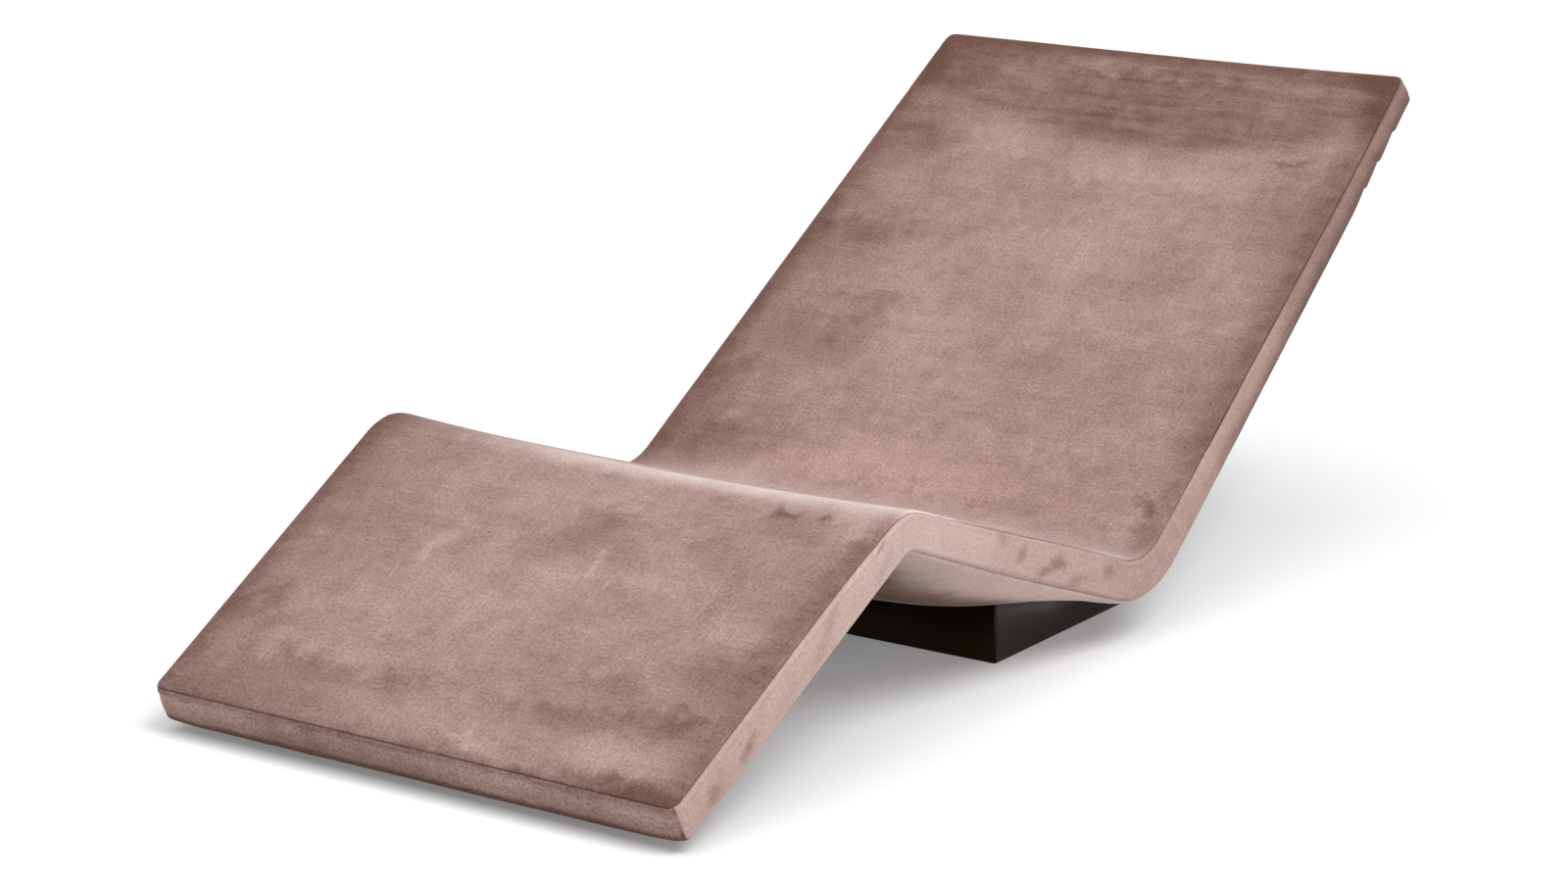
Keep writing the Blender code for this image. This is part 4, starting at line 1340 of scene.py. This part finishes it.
# %% [markdown]
# ## Foam and webbing inside
#
# Nothing of these shows until the cover is off, and then they are what a bench would hold: cut foam
# with softened edges and open pores, and elastic belts with ribs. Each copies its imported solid, merges
# it and breaks its edges. A seam squeezes real foam, and knees press it, so the foam is cut into strips
# and its points are pulled back behind the cover: each is turned into its station, place across and
# depth, held between limits, and put back.

# %% Foam and webbing inside
FOAM_EDGE = 0.0045
FOAM_STRIP = 0.040
BELT_EDGE = 0.0004
SHARP = math.radians(35)
COPLANAR = math.radians(0.5)
FOAM_TUCK = 0.0055
FOAM_COVER = 0.0024
LINE_SAMPLES = 500
LINE_STEPS = 3
FOAM_COLOURS = (rgb(0.62, 0.56, 0.40), rgb(0.86, 0.82, 0.70))
BELT_COLOURS = (rgb(0.030, 0.026, 0.022), rgb(0.110, 0.095, 0.080))
CELL_TONE = 0.6
RIB_SHARE = 0.7
LINE_TREE = kdtree.KDTree(LINE_SAMPLES + 1)
for number in range(LINE_SAMPLES + 1):
    point = upper_line(BODY_END * number / LINE_SAMPLES)[0]
    LINE_TREE.insert((point.x, point.y, 0), number)
LINE_TREE.balance()


def body_place(spot):
    """Station, across and depth of a point of the body: place the other way round."""
    target = Vector((spot.y - SHIFT_Y, spot.z - SHIFT_Z))
    station = BODY_END * LINE_TREE.find((target.x, target.y, 0))[1] / LINE_SAMPLES
    for _ in range(LINE_STEPS):
        point, slope = upper_line(station)
        station += (target - point).dot(along(slope, 1))
    point, slope = upper_line(station)
    return station, spot.x, (target - point).dot(along(slope - math.pi / 2, 1))


def behind_cover(spot):
    """A point of the foam, pulled back inside the cover."""
    station, across, depth = body_place(spot)
    station = min(max(station, FOAM_TUCK), BODY_END - FOAM_TUCK)
    wide = half_width(station) - FOAM_TUCK
    across = min(max(across, -wide), wide)
    lowest = swell(station, across, thickness(station)) - FOAM_COVER
    depth = min(max(depth, swell(station, across, 0) + FOAM_COVER), lowest)
    return place(station, across, depth)


def merged_copy(node):
    shape = bmesh.new()
    shape.from_mesh(NODES[node].data)
    bmesh.ops.remove_doubles(shape, verts=shape.verts[:], dist=WELD)
    bmesh.ops.dissolve_limit(shape, angle_limit=COPLANAR, verts=shape.verts[:], edges=shape.edges[:])
    return shape


def ease(shape, radius):
    """Rounds the sharp edges of a shape."""
    sharp = [e for e in shape.edges if len(e.link_faces) == 2 and e.calc_face_angle() > SHARP]
    bmesh.ops.bevel(
        shape, geom=sharp, offset=radius, offset_type="OFFSET", affect="EDGES",
        segments=2, profile=0.5, material=-1, clamp_overlap=True)
    return shape


def slice_up(shape, low, high):
    """Cuts a foam into strips both ways, so that it has points enough to follow the cover."""
    for normal in LEVEL_AXES:
        start, end = low.dot(normal), high.dot(normal)
        count = math.ceil((end - start) / FOAM_STRIP)
        for number in range(1, count):
            spot = normal * (start + (end - start) * number / count)
            slice_at(shape, shape.faces[:], spot, normal, WELD)


def foam_core(node):
    shape = merged_copy(node)
    slice_up(shape, *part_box(node))
    for vert in shape.verts:
        vert.co = behind_cover(vert.co)
    return ease(shape, FOAM_EDGE)


def foam_finish():
    finish, spot = solid_finish("cut_foam", Specular_IOR_Level=0.1)
    pores = spot.node("TexVoronoi", None, {"Vector": spot, "Scale": 450.0})
    tint = grain(spot, 8.0, 3.0)
    cells = (CELL_TONE * (pores + tint)).clipped()
    return coat(finish, cells, FOAM_COLOURS, tint, roughness=(0.88, 0.10), relief=pores, bump=(0.4, 0.001))


def webbing_finish():
    finish, spot = solid_finish("belt_webbing", Specular_IOR_Level=0.2)
    ribs = spot.node("TexWave", {"bands_direction": "X"}, {"Vector": spot, "Scale": 95.0, "Distortion": 0.4})
    fuzz = grain(spot, 700.0)
    belt = RIB_SHARE * ribs + (1 - RIB_SHARE) * fuzz
    return coat(finish, belt, BELT_COLOURS, fuzz, roughness=(0.75, 0.20), relief=ribs, bump=(0.5, 0.0006))


cut_foam = foam_finish()
belt_webbing = webbing_finish()
STRAPS = sorted(node for node in NODES if "_strap_" in node)
for node in FOAMS + PADS:
    name = node.replace("_foam", "_cushion_core").replace("_under_padding", "_under_pad")
    core = new_piece(name, foam_core(node), cut_foam)
    core.data.set_sharp_from_angle(angle=SHARP)
    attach(core, BODY)
    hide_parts(node)
for node in STRAPS:
    belt = new_piece(node.replace("_strap_", "_belt_"), ease(merged_copy(node), BELT_EDGE), belt_webbing)
    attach(belt, BODY)
    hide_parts(node)
print("inside:", len(FOAMS + PADS), "foams,", len(STRAPS), "belts")

# %% [markdown]
# ## Steel, zinc and nylon
#
# The rails, tubes, bearers, saddle, brackets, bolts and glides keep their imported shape, and only their
# finish is better here: powder coat with fine orange peel, zinc with cloudy spangle, and matt nylon.

# %% Steel, zinc and nylon
POWDER_COLOURS = (rgb(0.022, 0.022, 0.024), rgb(0.042, 0.042, 0.045))
ZINC_COLOURS = (rgb(0.48, 0.48, 0.50), rgb(0.68, 0.68, 0.70))
NYLON_COLOURS = (rgb(0.016, 0.016, 0.017), rgb(0.032, 0.032, 0.033))


def zinc_plate():
    finish, spot = solid_finish("zinc_plate", Metallic=1.0)
    spangle = spot.node("TexVoronoi", None, {"Vector": spot, "Scale": 260.0})
    return coat(finish, spangle.clipped(), ZINC_COLOURS, spangle, roughness=(0.28, 0.20))


powder_coat = plain_coat(
    "powder_coat", (18.0, 4.0), 420.0, POWDER_COLOURS, roughness=(0.42, 0.20), bump=(0.25, 0.0004),
    Specular_IOR_Level=0.4)
moulded_nylon = plain_coat(
    "moulded_nylon", (900.0,), 900.0, NYLON_COLOURS, roughness=(0.5, 0.20), bump=(0.2, 0.0003),
    Specular_IOR_Level=0.4)
FINISHES = {"frame_steel": powder_coat, "zinc": zinc_plate(), "glide_nylon": moulded_nylon}
dressed = 0
for part in frame["record"]["subparts"]:
    if part["material_slot"] in FINISHES:
        NODES[part["node"]].data.materials.clear()
        NODES[part["node"]].data.materials.append(FINISHES[part["material_slot"]])
        dressed += 1
print("finishes:", dressed, "packed pieces")

# %% [markdown]
# ## Sizes
#
# The dressed object has to stay the size of the imported one, so the move of each corner of its box is
# printed.

# %% Sizes
DRESSED_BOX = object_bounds()
for corner, before, after in zip(("low", "high"), CAD_BOX, DRESSED_BOX):
    print(corner, "corner moved by mm:", [round(1000 * (b - a), 1) for a, b in zip(before, after)])
